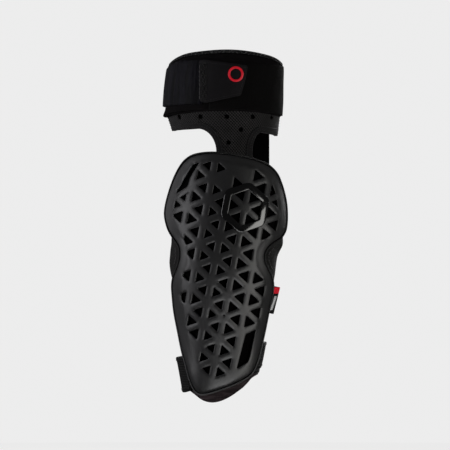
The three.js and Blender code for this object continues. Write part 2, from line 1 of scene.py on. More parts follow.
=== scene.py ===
import math

import bpy
import numpy as np
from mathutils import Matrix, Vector
from mathutils.geometry import delaunay_2d_cdt
from mathutils.kdtree import KDTree


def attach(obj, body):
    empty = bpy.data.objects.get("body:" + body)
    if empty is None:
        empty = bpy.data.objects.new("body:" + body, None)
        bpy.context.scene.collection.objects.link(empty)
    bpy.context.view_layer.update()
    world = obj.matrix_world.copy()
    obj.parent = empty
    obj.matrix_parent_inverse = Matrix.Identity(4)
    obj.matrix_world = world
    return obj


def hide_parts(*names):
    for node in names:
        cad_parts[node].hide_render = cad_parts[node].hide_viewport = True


# An elbow guard: a lattice shell over a foam pad, on a stretch sleeve that hangs by a perforated
# yoke from a padded cuff. Lengths are metres and angles degrees round the arm, from the front
# (-Y) towards +X; "out" is a distance outwards from the skin. One section follows for each piece.
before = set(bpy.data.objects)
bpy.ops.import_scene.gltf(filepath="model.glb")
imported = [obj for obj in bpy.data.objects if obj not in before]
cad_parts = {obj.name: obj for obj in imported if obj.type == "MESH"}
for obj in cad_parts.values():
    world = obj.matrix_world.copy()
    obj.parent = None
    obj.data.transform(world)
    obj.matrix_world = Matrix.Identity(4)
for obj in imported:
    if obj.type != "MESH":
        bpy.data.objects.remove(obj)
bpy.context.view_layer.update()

# Studio
# The guard hangs in front of plain pale paper. A tall soft box stands on its left, one lower down
# on its right, one under it and two behind, and the lens looks level at it from far away.
paper_glow, floor_dimming, room_light = 0.845, 0.03, 0.05
lens_length, lens_distance, lens_height = 400, 5.0, -0.010
floor_radius, floor_height = 2.6, -0.34

camera_data = bpy.data.cameras.new("lens")
camera_data.lens = lens_length
camera_data.sensor_width = 36
camera_data.clip_end = 60
camera = bpy.data.objects.new("camera", camera_data)
camera.location = (0, -lens_distance, lens_height)
camera.rotation_euler = (math.pi / 2, 0, 0)
bpy.context.collection.objects.link(camera)
bpy.context.scene.camera = camera


def soft_box(name, place, size, watts, colour=(1, 1, 1)):
    """An area light that faces the guard."""
    light = bpy.data.lights.new(name, "AREA")
    light.shape = "RECTANGLE"
    light.size, light.size_y = size
    light.energy = watts
    light.color = colour
    lamp = bpy.data.objects.new(name, light)
    lamp.location = place
    lamp.rotation_euler = (-Vector(place)).to_track_quat("-Z", "Y").to_euler()
    bpy.context.collection.objects.link(lamp)


soft_box("left_box", (-1.62, -0.5, -0.1), (0.7, 1.9), 18, (0.98, 0.97, 1))
soft_box("right_box", (1.3, -0.75, -0.55), (0.9, 1.7), 17, (1, 0.99, 0.95))
soft_box("low_box", (0.1, -0.8, -1.5), (1.4, 0.8), 21)
soft_box("edge_box", (-1.35, 0.95, 0.25), (0.4, 1.2), 1.5, (0.98, 0.97, 1))
soft_box("rear_box", (0.7, 1.9, 0.6), (1.4, 1.4), 20)


def new_finish(name, colour, roughness):
    """A material with its node tree and its shader."""
    material = bpy.data.materials.new(name)
    material.use_nodes = True
    tree = material.node_tree
    shader = tree.nodes["Principled BSDF"]
    shader.inputs["Base Color"].default_value = (*colour, 1)
    shader.inputs["Roughness"].default_value = roughness
    return material, tree, shader


def node(tree, kind, settings=(), **values):
    """A node with its settings and sockets filled; i0, i1 and so on name sockets by number."""
    made = tree.nodes.new(kind)
    for key, value in dict(settings).items():
        setattr(made, key, value)
    for key, value in values.items():
        by_number = key[0] == "i" and key[1:].isdigit()
        socket = made.inputs[int(key[1:]) if by_number else key]
        if isinstance(value, bpy.types.NodeSocket):
            tree.links.new(value, socket)
        else:
            socket.default_value = value
    return made


def ranged(tree, amount, low, high, to=(0, 1), kind="LINEAR"):
    """An amount carried from one range to another."""
    made = node(tree, "ShaderNodeMapRange", {"interpolation_type": kind}, Value=amount)
    for socket, value in zip(("From Min", "From Max", "To Min", "To Max"), (low, high, *to)):
        made.inputs[socket].default_value = value
    return made.outputs["Result"]


def self_lit(shader, colour, strength):
    shader.inputs["Emission Color"].default_value = (*colour, 1)
    shader.inputs["Emission Strength"].default_value = strength


world = bpy.data.worlds.new("paper")
world.use_nodes = True
world_tree = world.node_tree
glow = world_tree.nodes["Background"]
sight = node(world_tree, "ShaderNodeLightPath").outputs["Is Camera Ray"]
brightness = ranged(world_tree, sight, 0, 1, (room_light, paper_glow))
world_tree.links.new(brightness, glow.inputs["Strength"])
glow.inputs["Color"].default_value = (1, 1, 1, 1)
bpy.context.scene.world = world
bpy.context.scene.view_settings.view_transform = "Standard"

bpy.ops.mesh.primitive_circle_add(
    vertices=96, radius=floor_radius, fill_type="NGON", location=(0, 0, floor_height)
)
floor = bpy.context.object
floor.name = "floor"
floor_paper, _, shader = new_finish("floor_paper", (0.05, 0.05, 0.05), 0.9)
self_lit(shader, (1, 1, 1), paper_glow - floor_dimming)
floor.data.materials.append(floor_paper)
floor.visible_diffuse = False
floor.visible_glossy = False

# Sleeve
# A tube of fine stretch knit, cut to the form of the arm and closed by flat seams down the sides.
# It carries the pad in front, gathers a little in the crook of the elbow behind, and is hemmed.
shell_above, shell_below = 0.0625, 0.1765
neck_show, cuff_height, lip_show = 0.038, 0.0625, 0.010
upper_reach = shell_above + neck_show + cuff_height
lower_reach = shell_below + lip_show
cuff_bottom = shell_above + neck_show
elbow_half_width, elbow_half_depth = 0.050, 0.049
seam = 0.0003
sleeve_wall = 0.002
yoke_tuck = 0.012
wrist_height, wrist_slant = 0.020, 0.008

# Arm sections: share of the reach, then side, back, half width and half depth as elbow shares.
arm_sections = np.array(
    [
        (-1, -0.1, 0.67, 0.63, 0.63),
        (-0.8, -0.05, 0.51, 0.73, 0.7),
        (-0.615, -0.05, 0.35, 0.81, 0.785),
        (-0.4, -0.03, 0.16, 0.94, 0.9),
        (-0.24, -0.02, 0.06, 1.01, 0.97),
        (0, 0, 0, 1, 1),
        (0.18, 0.01, 0.02, 0.96, 0.98),
        (0.38, 0.02, 0.05, 0.94, 0.95),
        (0.52, 0, 0.08, 1, 0.95),
        (0.63, -0.03, 0.1, 1.07, 0.97),
        (0.86, 0, 0.14, 1.06, 0.97),
        (1, 0.04, 0.18, 1.02, 0.93),
    ]
)


def smooth_through(places, values, at):
    """A smooth curve through the values, read at any places between them."""
    slope = np.gradient(values)
    slope[1:-1] = (values[2:] - values[:-2]) / (places[2:] - places[:-2])
    slope[0] = (values[1] - values[0]) / (places[1] - places[0])
    slope[-1] = (values[-1] - values[-2]) / (places[-1] - places[-2])
    i = np.clip(np.searchsorted(places, at, side="right") - 1, 0, len(places) - 2)
    span = places[i + 1] - places[i]
    t = np.clip((at - places[i]) / span, 0, 1)
    rise = values[i + 1] - values[i]
    c, d = slope[i] * span, slope[i + 1] * span
    return values[i] + t * (c + t * (3 * rise - 2 * c - d + t * (c + d - 2 * rise)))


def arm_at(z):
    """Centre and half sizes of the arm at a height."""
    z = np.asarray(z, float)
    share = np.where(z < 0, z / lower_reach, z / upper_reach)
    side, back, width, depth = (
        smooth_through(arm_sections[:, 0], arm_sections[:, k], share) for k in (1, 2, 3, 4)
    )
    return (
        side * elbow_half_width,
        back * elbow_half_depth,
        width * elbow_half_width,
        depth * elbow_half_depth,
    )


def on_arm(angle, z, out):
    """Points at an angle round the arm, a height, and a distance out from the skin."""
    angle, z, out = np.broadcast_arrays(np.radians(angle), z, out)
    x, y, width, depth = arm_at(z)
    return np.stack([x + (width + out) * np.sin(angle), y - (depth + out) * np.cos(angle), z], -1)


def new_piece(name, finish, points, faces, corner_uv=None):
    """A smooth shaded piece in the scene, with cloth coordinates at the corners of its faces."""
    mesh = bpy.data.meshes.new(name)
    mesh.from_pydata(points.reshape(-1, 3).tolist(), [], faces)
    if corner_uv is not None:
        layer = mesh.uv_layers.new(name="cloth")
        layer.data.foreach_set("uv", corner_uv.astype(np.float32).ravel())
    mesh.shade_smooth()
    mesh.materials.append(finish)
    piece = bpy.data.objects.new(name, mesh)
    bpy.context.collection.objects.link(piece)
    return piece


def net(name, finish, points, uv, round_way=False):
    """A piece whose points[i, j] are joined as quads, closed over j, and over i if asked."""
    n, m = points.shape[:2]
    i, j = np.meshgrid(np.arange(n - (not round_way)), np.arange(m), indexing="ij")
    i, j = i.ravel(), j.ravel()
    corners = [(i, j), (i + 1, j), (i + 1, j + 1), (i, j + 1)]
    faces = np.stack([(a % n) * m + b % m for a, b in corners], 1)
    corner_uv = np.stack([uv[a, b] for a, b in corners], 1)
    return new_piece(name, finish, points, faces.tolist(), corner_uv)


def strip_section(rows, corner=3):
    """A strip's closed cross-section: shares across and up, and offsets at its round corners."""
    turn = np.linspace(0, math.pi / 2, corner + 1)
    sides = np.arange(1, rows) / rows
    section = [(1, up, 0, 0) for up in sides]
    section += [(1, 1, math.cos(a) - 1, math.sin(a) - 1) for a in turn]
    section += [(0, 1, 1 - math.sin(a), math.cos(a) - 1) for a in turn]
    section += [(0, up, 0, 0) for up in sides[::-1]]
    section += [(0, 0, 1 - math.cos(a), 1 - math.sin(a)) for a in turn]
    section += [(1, 0, math.sin(a) - 1, 1 - math.cos(a)) for a in turn]
    return np.array(section)


def end_caps(points):
    """Rows of points drawn together at both ends, so that a strip is closed there."""
    middle = points.mean(axis=1, keepdims=True)
    drawn = middle + (points - middle) * 0.02
    return np.concatenate([drawn[:1], points, drawn[-1:]])


def round_strip(name, finish, angles, low, high, inner, outer, rows, edge=None, puff=None):
    """A strip of cloth round the arm, with round edges; puff(angle, share up) moves its face."""
    section = strip_section(rows)
    closed = abs(angles[-1] - angles[0]) > 359.9
    turned = angles[:-1] if closed else angles
    edge = (outer - inner) / 2 if edge is None else edge
    a = turned[:, None]
    across, up = section[:, 0], section[:, 1]
    bottom, top = low(a), high(a)
    z = bottom + (top - bottom) * up + section[:, 3] * edge
    out = inner + (outer - inner) * across + section[:, 2] * edge
    if puff is not None:
        out = out + puff(a, up) * across
    points = on_arm(a, z, out)
    if closed:
        around, z = np.concatenate([a, a[:1] + 360]), np.concatenate([z, z[:1]])
    else:
        points = end_caps(points)
        around, z = (np.concatenate([rows[:1], rows, rows[-1:]]) for rows in (a, z))
    z = np.concatenate([z, z[:, :1]], 1)
    u = np.radians(around) * (elbow_half_width + outer) * np.ones_like(z)
    return net(name, finish, points, np.stack([u, z], -1), round_way=closed)


def bell(x, middle, spread):
    """A smooth hump, 1 high at the middle and nearly gone at twice the spread."""
    return np.exp(-(((x - middle) / spread) ** 2))


def ripples(u, v, size, seed):
    """Gentle uneven waves of about one size, from -1 to 1."""
    random = np.random.RandomState(seed)
    total = 0
    for _ in range(7):
        turn, phase = random.uniform(0, math.tau, 2)
        pitch = size * random.uniform(0.7, 1.6)
        along = u * math.cos(turn) + v * math.sin(turn)
        total = total + np.sin(math.tau * along / pitch + phase)
    return total / 4


crook_height, crook_spread, fold_pitch, fold_depth = 0.002, 0.034, 0.0125, 0.0011
right_bunch, right_bunch_height, spread_above, spread_below = 0.0060, -0.027, 0.022, 0.0105
left_bunch, left_bunch_height, left_spread = 0.0022, -0.050, 0.016
sleeve_dip_angles = np.array([-180, -135, -90, -50, -16, 38, 60, 90, 120, 180.0])
sleeve_dips = np.array([0.13, 0.3, 0.45, 0.18, 0, 0, 0.08, 0.22, 0.13, 0.13])


def sleeve_top(angle):
    turned = (np.asarray(angle, float) + 180) % 360 - 180
    dip = np.interp(turned, sleeve_dip_angles, sleeve_dips)
    return shell_above - yoke_tuck - seam - dip * shell_above


def sleeve_bottom(angle):
    return -lower_reach + wrist_height + wrist_slant * np.sin(np.radians(angle))


def sleeve_puff(angle, up):
    """Folds in the crook behind, and cloth bunched up beside the pad on both sides."""
    z = sleeve_bottom(angle) + (sleeve_top(angle) - sleeve_bottom(angle)) * up
    behind = np.clip((np.abs(angle) - 75) / 60, 0, 1)
    crook = bell(z, crook_height, crook_spread) * behind
    folds = np.sin(z * math.tau / fold_pitch + 0.9 * np.sin(np.radians(angle) * 2.3))
    loose = ripples(np.radians(angle) * 0.05, z, 0.034, 5) * 0.0004 * behind
    behind_pad = 64 + 12 * np.clip((z + 0.030) / 0.015, 0, 1)
    right = np.clip((angle - behind_pad) / 24, 0, 1) * np.clip((165 - angle) / 50, 0, 1)
    left = np.clip((-angle - 66) / 22, 0, 1) * np.clip((165 + angle) / 50, 0, 1)
    spread = np.where(z > right_bunch_height, spread_above, spread_below)
    bunched = right_bunch * right**2 * bell(z, right_bunch_height, spread)
    bunched = bunched + left_bunch * left**2 * bell(z, left_bunch_height, left_spread)
    return crook * (fold_depth * folds + 0.0006) + loose + bunched


def on_cloth(tree, turn=0, scale=(1, 1, 1)):
    """Places on the cloth, turned and scaled."""
    cloth = node(tree, "ShaderNodeUVMap", {"uv_map": "cloth"}).outputs[0]
    rotation = (0, 0, math.radians(turn))
    return node(tree, "ShaderNodeMapping", Vector=cloth, Rotation=rotation, Scale=scale).outputs[0]


def yarn_waves(tree, pitch, turn=0):
    """Fine parallel ridges over the cloth, a pitch apart, turned from straight up."""
    scale = math.tau / 20 / pitch
    return node(tree, "ShaderNodeTexWave", Vector=on_cloth(tree, turn), Scale=scale).outputs["Fac"]


def streaked(tree, across, along, turn=0):
    """Uneven streaks over the cloth, of one size across and another along."""
    place = on_cloth(tree, turn, (1 / across, 1 / along, 1))
    return node(tree, "ShaderNodeTexNoise", Vector=place, Scale=1, Detail=3).outputs["Fac"]


def sums(tree, operation, first, second):
    return node(tree, "ShaderNodeMath", {"operation": operation}, i0=first, i1=second).outputs[0]


def woven(tree, first, second):
    """Two sets of yarn that cross, each given as its pitch and turn."""
    return sums(tree, "MULTIPLY", yarn_waves(tree, *first), yarn_waves(tree, *second))


def blended(tree, *parts):
    """The sum of amounts, each given with its weight."""
    total = None
    for amount, weight in parts:
        part = amount if weight == 1 else sums(tree, "MULTIPLY", amount, weight)
        total = part if total is None else sums(tree, "ADD", total, part)
    return total


def place_on(tree):
    """The place on the piece itself, in metres."""
    return node(tree, "ShaderNodeTexCoord").outputs["Object"]


def uneven(tree, size, detail=3):
    """Uneven patches of about one size."""
    place = place_on(tree)
    noise = node(tree, "ShaderNodeTexNoise", Vector=place, Scale=1 / size, Detail=detail)
    return noise.outputs["Fac"]


def paint(tree, shader, amount, dark, light):
    """The base colour lies between two, by an amount from 0 to 1."""
    ramp = node(tree, "ShaderNodeValToRGB", Fac=amount)
    ramp.color_ramp.elements[0].color = (*dark, 1)
    ramp.color_ramp.elements[1].color = (*light, 1)
    tree.links.new(ramp.outputs["Color"], shader.inputs["Base Color"])


def relief(tree, shader, height, strength, depth):
    bump = node(tree, "ShaderNodeBump", Strength=strength, Distance=depth, Height=height)
    tree.links.new(bump.outputs["Normal"], shader.inputs["Normal"])


def cloth_sheen(shader, weight, roughness=0.4, shine=0.25):
    shader.inputs["Sheen Weight"].default_value = weight
    shader.inputs["Sheen Roughness"].default_value = roughness
    shader.inputs["Specular IOR Level"].default_value = shine


def knit_finish(name, dark, light, sheen, shine=0.25):
    """A fine jersey: courses and wales in relief, a little uneven in colour."""
    knit, tree, shader = new_finish(name, light, 0.86)
    cloth_sheen(shader, sheen, shine=shine)
    loops = woven(tree, (0.0011,), (0.0014, 90))
    paint(tree, shader, blended(tree, (loops, 0.5), (uneven(tree, 0.02), 0.5)), dark, light)
    relief(tree, shader, loops, 0.6, 0.0004)
    return knit


def thread_finish(name, dark, light, roughness=0.5, twist=0.0006):
    """A thread, darker and lighter by its twist."""
    thread, tree, shader = new_finish(name, light, roughness)
    paint(tree, shader, uneven(tree, twist, 1), dark, light)
    return thread, shader


sleeve_jersey = knit_finish("sleeve_jersey", (0.0035, 0.0032, 0.003), (0.024, 0.023, 0.022), 0.12)

sleeve = round_strip(
    "sleeve_knit",
    sleeve_jersey,
    np.linspace(-180, 180, 145),
    sleeve_bottom,
    sleeve_top,
    0,
    sleeve_wall,
    rows=110,
    puff=sleeve_puff,
)
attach(sleeve, "root")
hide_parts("sleeve")


def length_along(line):
    """How far each point lies along a line."""
    return np.concatenate([[0], np.cumsum(np.linalg.norm(np.diff(line, axis=0), axis=1))])


def stitch_row(name, thread, path, normals, length, gap, radius, closed=False):
    """A row of thread stitches along a path, each one dipping into the cloth at its ends."""
    line = np.vstack([path, path[:1]] if closed else [path])
    up_line = np.vstack([normals, normals[:1]] if closed else [normals])
    far = length_along(line)
    starts = np.arange(gap / 2, far[-1] - length, length + gap)
    sides, rings = 6, 6
    share = np.linspace(0, 1, rings)
    at = starts[:, None] + share[None] * length
    centre = np.stack([np.interp(at, far, line[:, k]) for k in range(3)], -1)
    up = np.stack([np.interp(at, far, up_line[:, k]) for k in range(3)], -1)
    up /= np.linalg.norm(up, axis=-1, keepdims=True)
    along = np.gradient(centre, axis=1)
    along /= np.linalg.norm(along, axis=-1, keepdims=True)
    across = np.cross(along, up)
    arch = np.sin(share * math.pi)[None, :, None]
    centre = centre + up * radius * (1.2 * arch - 0.7)
    girth = radius * np.clip(0.35 + arch, 0, 1)
    turn = np.linspace(0, math.tau, sides, endpoint=False)
    ring = up[:, :, None] * np.cos(turn)[:, None] + across[:, :, None] * np.sin(turn)[:, None]
    points = centre[:, :, None] + girth[..., None] * ring
    count = len(starts)
    index = np.arange(count * rings * sides).reshape(count, rings, sides)
    a, b = index[:, :-1], index[:, 1:]
    quads = np.stack([a, np.roll(a, -1, 2), np.roll(b, -1, 2), b], -1).reshape(-1, 4)
    caps = np.vstack([index[:, 0][:, ::-1], index[:, -1]])
    piece = new_piece(name, thread, points, quads.tolist() + caps.tolist())
    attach(piece, "root")


black_thread, shader = thread_finish("black_thread", (0.012, 0.012, 0.013), (0.04, 0.04, 0.043))
cloth_sheen(shader, 0.2)


def outwards(angle):
    """The way out from the arm at an angle."""
    angle = np.radians(angle)
    return np.stack([np.sin(angle), -np.cos(angle), np.zeros_like(angle)], -1)


def on_sleeve(angle, z, out=0.0001):
    """Points on the sleeve's outer face."""
    low, high = sleeve_bottom(angle), sleeve_top(angle)
    return on_arm(angle, z, sleeve_wall + sleeve_puff(angle, (z - low) / (high - low)) + out)


both_sides = ((-1, "left"), (1, "right"))
for side, name in both_sides:
    for row, angle in enumerate((102, 107)):
        turned = np.full(160, float(side * angle))
        low, high = float(sleeve_bottom(turned[0])), float(sleeve_top(turned[0]))
        path = on_sleeve(turned, np.linspace(low + 0.002, high - 0.002, len(turned)))
        row_name = f"sleeve_seam_{name}_{row + 1}"
        stitch_row(row_name, black_thread, path, outwards(turned), 0.0022, 0.0008, 0.00024)

# Wrist lip
# The sleeve's front edge runs on below the shell as a folded lip of brown black stretch cloth,
# sewn to the sleeve's hem and rounded off at its lowest point.
lip_height, lip_wall = 0.0197, 0.002
lip_angles = np.array([-70, -61, -53, -45, -30, -14, 1, 16, 34, 46, 56, 76.0])
lip_drops = np.array([0.06, 0.16, 0.3, 0.46, 0.77, 0.96, 0.99, 0.89, 0.64, 0.4, 0.16, 0.03])


def lip_low(angle):
    drop = smooth_through(lip_angles, lip_drops, np.asarray(angle, float))
    return sleeve_bottom(angle) - seam - np.clip(drop, 0.03, 1) * lip_height


def lip_high(angle):
    return sleeve_bottom(angle) + 0.0012


def lip_puff(angle, up):
    welt = bell(up, 0.93, 0.06) * 0.0008
    return welt + ripples(np.radians(angle) * 0.04, up * 0.02, 0.012, 3) * 0.0003


brown_cloth, tree, shader = new_finish("brown_cloth", (0.02, 0.012, 0.012), 0.85)
cloth_sheen(shader, 0.15)
stitches = woven(tree, (0.001,), (0.0012, 90))
streaks = ranged(tree, streaked(tree, 0.03, 0.0028), 0.35, 0.7)
worn = blended(tree, (stitches, 0.25), (streaks, 0.75))
paint(tree, shader, worn, (0.009, 0.0045, 0.0055), (0.085, 0.062, 0.068))
relief(tree, shader, stitches, 0.6, 0.0004)

wrist_lip = round_strip(
    "wrist_lip_cloth",
    brown_cloth,
    np.linspace(lip_angles[0], lip_angles[-1], 60),
    lip_low,
    lip_high,
    0.0001,
    lip_wall,
    rows=20,
    puff=lip_puff,
)
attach(wrist_lip, "root")
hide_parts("wrist_lip")

# Forearm strap
# A wide ribbed elastic closes the sleeve round the forearm. It comes out from under the pad on
# each side, slants a little round the back, is broadest on the left, and has turned and
# stitched edges. Its top stands off on the left, and its foot is drawn in on the right.
forearm_strap_width, forearm_strap_thickness, forearm_strap_height = 0.031, 0.003, 0.0362
forearm_strap_left, forearm_strap_right = 54, 56
forearm_strap_slant, forearm_strap_taper = wrist_slant + 0.0022, 0.0024
left_flare, right_tuck, rim_rise = 0.0038, 0.0022, 0.0005


def forearm_middle(angle):
    level = -lower_reach + forearm_strap_height
    return level + forearm_strap_slant * np.sin(np.radians(angle))


def forearm_half(angle):
    return forearm_strap_width / 2 - forearm_strap_taper * np.sin(np.radians(angle))


def to_left(angle):
    """How far to the left an angle looks, 1 at the side and 0 anywhere on the right."""
    return np.clip(-np.sin(np.radians(angle)), 0, 1)


def forearm_puff(angle, up):
    rims = (bell(up, 0.06, 0.05) + bell(up, 0.94, 0.05)) * rim_rise
    flare = to_left(angle) ** 2 * (left_flare * up + 0.0006)
    return rims + flare + to_left(-angle) ** 2 * right_tuck * (up - 1)


ribbed_elastic, tree, shader = new_finish("ribbed_elastic", (0.008, 0.008, 0.009), 0.62)
cloth_sheen(shader, 0.03, 0.3, 0.2)
ribs, fine = yarn_waves(tree, 0.0025, 90), yarn_waves(tree, 0.0009)
weave = blended(tree, (ribs, 0.6), (fine, 0.2), (uneven(tree, 0.003), 0.2))
paint(tree, shader, weave, (0.0003, 0.0003, 0.0003), (0.0095, 0.0092, 0.009))
relief(tree, shader, weave, 0.9, 0.0005)

forearm_strap = round_strip(
    "forearm_strap_elastic",
    ribbed_elastic,
    np.linspace(forearm_strap_right, 360 - forearm_strap_left, 90),
    lambda a: forearm_middle(a) - forearm_half(a),
    lambda a: forearm_middle(a) + forearm_half(a),
    sleeve_wall + 0.0002,
    sleeve_wall + seam + forearm_strap_thickness,
    rows=16,
    edge=0.0011,
    puff=forearm_puff,
)
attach(forearm_strap, "root")
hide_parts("forearm_strap")

for row, share in enumerate((0.1, 0.9)):
    turned = np.linspace(62, 298, 300)
    z = forearm_middle(turned) + (2 * share - 1) * forearm_half(turned)
    out = sleeve_wall + seam + forearm_strap_thickness + forearm_puff(turned, share) + 0.0001
    path, row_name = on_arm(turned, z, out), f"forearm_strap_stitches_{row + 1}"
    stitch_row(row_name, black_thread, path, outwards(turned), 0.0024, 0.001, 0.00028)

# Foam pad
# The pad is closed cell foam under black cloth, moulded to the arm, thick enough to fill the
# shell. It shows through the shell's windows and as a soft edge round it.
shell_out = 0.0145
shell_wall = 0.0032
shell_half_width = (elbow_half_width + shell_out + 0.003) * math.sin(math.radians(65.5))
cap_bulge, cap_spread = 0.003, 0.032
top_roll, bottom_roll = 0.003, 0.003
border_width, border_drop = 0.0093, 0.0016
piping_radius, piping_depth = 0.0008, 0.0004
outline_step = 0.0014
foot_drop, foot_from, foot_over = 0.0036, -0.146, 0.014

# Shell outline: height as a share of its reach, then left and right as shares of half width.
shell_rows = [
    (1, -0.33, -0.1),
    (0.965, -0.52, 0.19),
    (0.9, -0.635, 0.485),
    (0.807, -0.722, 0.71),
    (0.672, -0.802, 0.852),
    (0.514, -0.87, 0.925),
    (0.34, -0.928, 0.978),
    (0.17, -0.972, 1.01),
    (0.01, -0.99, 1.02),
    (-0.05, -0.965, 1.015),
    (-0.095, -0.92, 0.99),
    (-0.135, -0.85, 0.915),
    (-0.174, -0.773, 0.755),
    (-0.213, -0.75, 0.669),
    (-0.258, -0.765, 0.666),
    (-0.303, -0.806, 0.723),
    (-0.348, -0.855, 0.777),
    (-0.398, -0.876, 0.8),
    (-0.46, -0.866, 0.781),
    (-0.55, -0.84, 0.725),
    (-0.662, -0.78, 0.662),
    (-0.774, -0.716, 0.59),
    (-0.847, -0.656, 0.525),
    (-0.897, -0.612, 0.41),
    (-0.948, -0.556, 0.121),
    (-0.982, -0.5, -0.145),
    (-1, -0.419, -0.323),
]


def even_loop(loop, step):
    """A closed outline drawn again with evenly spaced points."""
    closed = np.vstack([loop, loop[:1]])
    far = length_along(closed)
    count = max(8, int(round(far[-1] / step)))
    at = np.arange(count) * far[-1] / count
    return np.stack([np.interp(at, far, closed[:, k]) for k in range(loop.shape[1])], 1)


def curved_loop(corners, step):
    """A smooth closed curve through the corners."""
    before, here, ahead, beyond = (np.roll(corners, k, axis=0)[:, None] for k in (1, 0, -1, -2))
    t = np.linspace(0, 1, 12, endpoint=False)[None, :, None]
    bend = 2 * before - 5 * here + 4 * ahead - beyond
    twist = 3 * (here - ahead) + beyond - before
    curve = here + 0.5 * t * (ahead - before + t * (bend + t * twist))
    return even_loop(curve.reshape(-1, 2), step)


def soften(loop, passes):
    """A closed outline with its corners eased."""
    for _ in range(passes):
        loop = (np.roll(loop, 1, 0) + 2 * loop + np.roll(loop, -1, 0)) / 4
    return loop


def drawn_in(loop, distance):
    """A closed outline, given anticlockwise, moved inwards."""
    along = np.roll(loop, -1, 0) - np.roll(loop, 1, 0)
    along /= np.linalg.norm(along, axis=1, keepdims=True) + 1e-12
    return loop + np.stack([-along[:, 1], along[:, 0]], 1) * distance


heights = np.array([h * (shell_above if h > 0 else shell_below) for h, _, _ in shell_rows])
heights -= foot_drop * np.clip((foot_from - heights) / foot_over, 0, 1)
left_side = [(left * shell_half_width, z) for (_, left, _), z in zip(shell_rows, heights)]
right_side = [(right * shell_half_width, z) for (_, _, right), z in zip(shell_rows, heights)]
shell_outline = curved_loop(np.array(left_side + right_side[::-1]), outline_step)


def inside(loop, points):
    """Which points lie inside a closed outline."""
    x, y = points[:, 0, None], points[:, 1, None]
    a, b = loop, np.roll(loop, -1, 0)
    spans = (a[:, 1] > y) != (b[:, 1] > y)
    level = np.where(b[:, 1] == a[:, 1], 1, b[:, 1] - a[:, 1])
    at = a[:, 0] + (y - a[:, 1]) / level * (b[:, 0] - a[:, 0])
    return ((x < at) & spans).sum(1) % 2 == 1


def nearest_on(loop, points):
    """The nearest place on a closed outline to each point, and how far it is."""
    a = loop[None]
    d = (np.roll(loop, -1, 0) - loop)[None]
    rel = points[:, None] - a
    t = np.clip((rel * d).sum(-1) / ((d * d).sum(-1) + 1e-18), 0, 1)
    foot = a + t[..., None] * d
    far = np.linalg.norm(points[:, None] - foot, axis=-1)
    k = far.argmin(1)
    rows = np.arange(len(points))
    return foot[rows, k], far[rows, k]


def far_from(points):
    """A function for how far places on the plan are from the nearest of the points."""
    nearest = KDTree(len(points))
    for k, p in enumerate(points):
        nearest.insert((*p, 0), k)
    nearest.balance()
    return lambda plan: np.array([nearest.find((*p, 0))[2] for p in plan])


def all_at(depth):
    """A flat face or back for a sheet."""
    return lambda plan: np.full(len(plan), depth)


def cut_sheet(name, finish, outline, holes, place, face, back, grid, edge):
    """A sheet cut to an outline with holes, thick from back to face, with its edges rounded."""
    points, falls, segments, owner = [], [], [], []
    count = 0

    def add(loop, fall, loop_owner):
        nonlocal count
        n = len(loop)
        points.append(loop)
        falls.append(np.full(n, fall))
        owner.append(np.full(n, loop_owner))
        at = np.arange(n)
        segments.append(np.stack([count + at, count + (at + 1) % n], 1))
        count += n

    for k, loop in enumerate([outline, *holes]):
        way = 1 if k == 0 else -1
        for share in (0, 0.3, 1):
            fall = edge * (1 - math.sqrt(1 - (1 - share) ** 2))
            add(drawn_in(loop, way * edge * share), fall, k if share == 0 else -1)
    fixed = np.vstack(points)
    low, high = outline.min(0), outline.max(0)
    columns, rows = np.arange(low[0], high[0], grid), np.arange(low[1], high[1], grid * 0.87)
    across, up = np.meshgrid(columns, rows)
    across[1::2] += grid / 2
    inner = np.stack([across.ravel(), up.ravel()], 1)
    inner = inner[inside(outline, inner)]
    for hole in holes:
        a, b = hole.min(0), hole.max(0)
        near = ((inner > a) & (inner < b)).all(1)
        near[near] = inside(hole, inner[near]) if near.any() else near[near]
        inner = inner[~near]
    inner = inner[far_from(fixed)(inner) > grid * 0.45]
    plan = np.vstack([fixed, inner])
    fall = np.concatenate([*falls, np.zeros(len(inner))])
    owned = np.concatenate([*owner, np.full(len(inner), -1)])
    scale = 1000
    corners = [Vector((float(x) * scale, float(y) * scale)) for x, y in plan]
    made = delaunay_2d_cdt(corners, np.vstack(segments).tolist(), [], 0, 1e-6)
    source = np.array([ids[0] if ids else -1 for ids in made[3]])
    if (source < 0).any():
        crossing = np.where(source < 0)[0]
        extra = np.array([made[0][k] for k in crossing]) / scale
        source[crossing] = len(plan) + np.arange(len(crossing))
        plan = np.vstack([plan, extra])
        fall = np.concatenate([fall, np.zeros(len(crossing))])
        owned = np.concatenate([owned, np.full(len(crossing), -1)])
    triangles = source[np.array([f for f in made[2] if len(f) == 3])]
    rim = owned[triangles]
    waste = (rim[:, 0] >= 0) & (rim[:, 0] == rim[:, 1]) & (rim[:, 1] == rim[:, 2])
    triangles = triangles[~waste]
    a, b, c = (plan[triangles[:, k]] for k in range(3))
    area = (b[:, 0] - a[:, 0]) * (c[:, 1] - a[:, 1]) - (c[:, 0] - a[:, 0]) * (b[:, 1] - a[:, 1])
    triangles = np.where((area > 0)[:, None], triangles, triangles[:, ::-1])
    fronts = face(plan)
    backs = back(plan)
    front = place(plan, fronts, fronts - fall)
    rear = place(plan, fronts, backs + np.minimum(fall, (fronts - backs) * 0.45))
    total, start = len(plan), 0
    faces = [triangles, triangles[:, ::-1] + total]
    for k, loop in enumerate([outline, *holes]):
        n = len(loop)
        at = start + np.arange(n)
        after = start + (np.arange(n) + 1) % n
        quad = np.stack([after, at, at + total, after + total], 1)
        faces.append(quad if k == 0 else quad[:, ::-1])
        start += 3 * n
    corner_uv = np.vstack([plan, plan])[np.concatenate([part.ravel() for part in faces])]
    faces = [face for part in faces for face in part.tolist()]
    return new_piece(name, finish, np.vstack([front, rear]), faces, corner_uv)


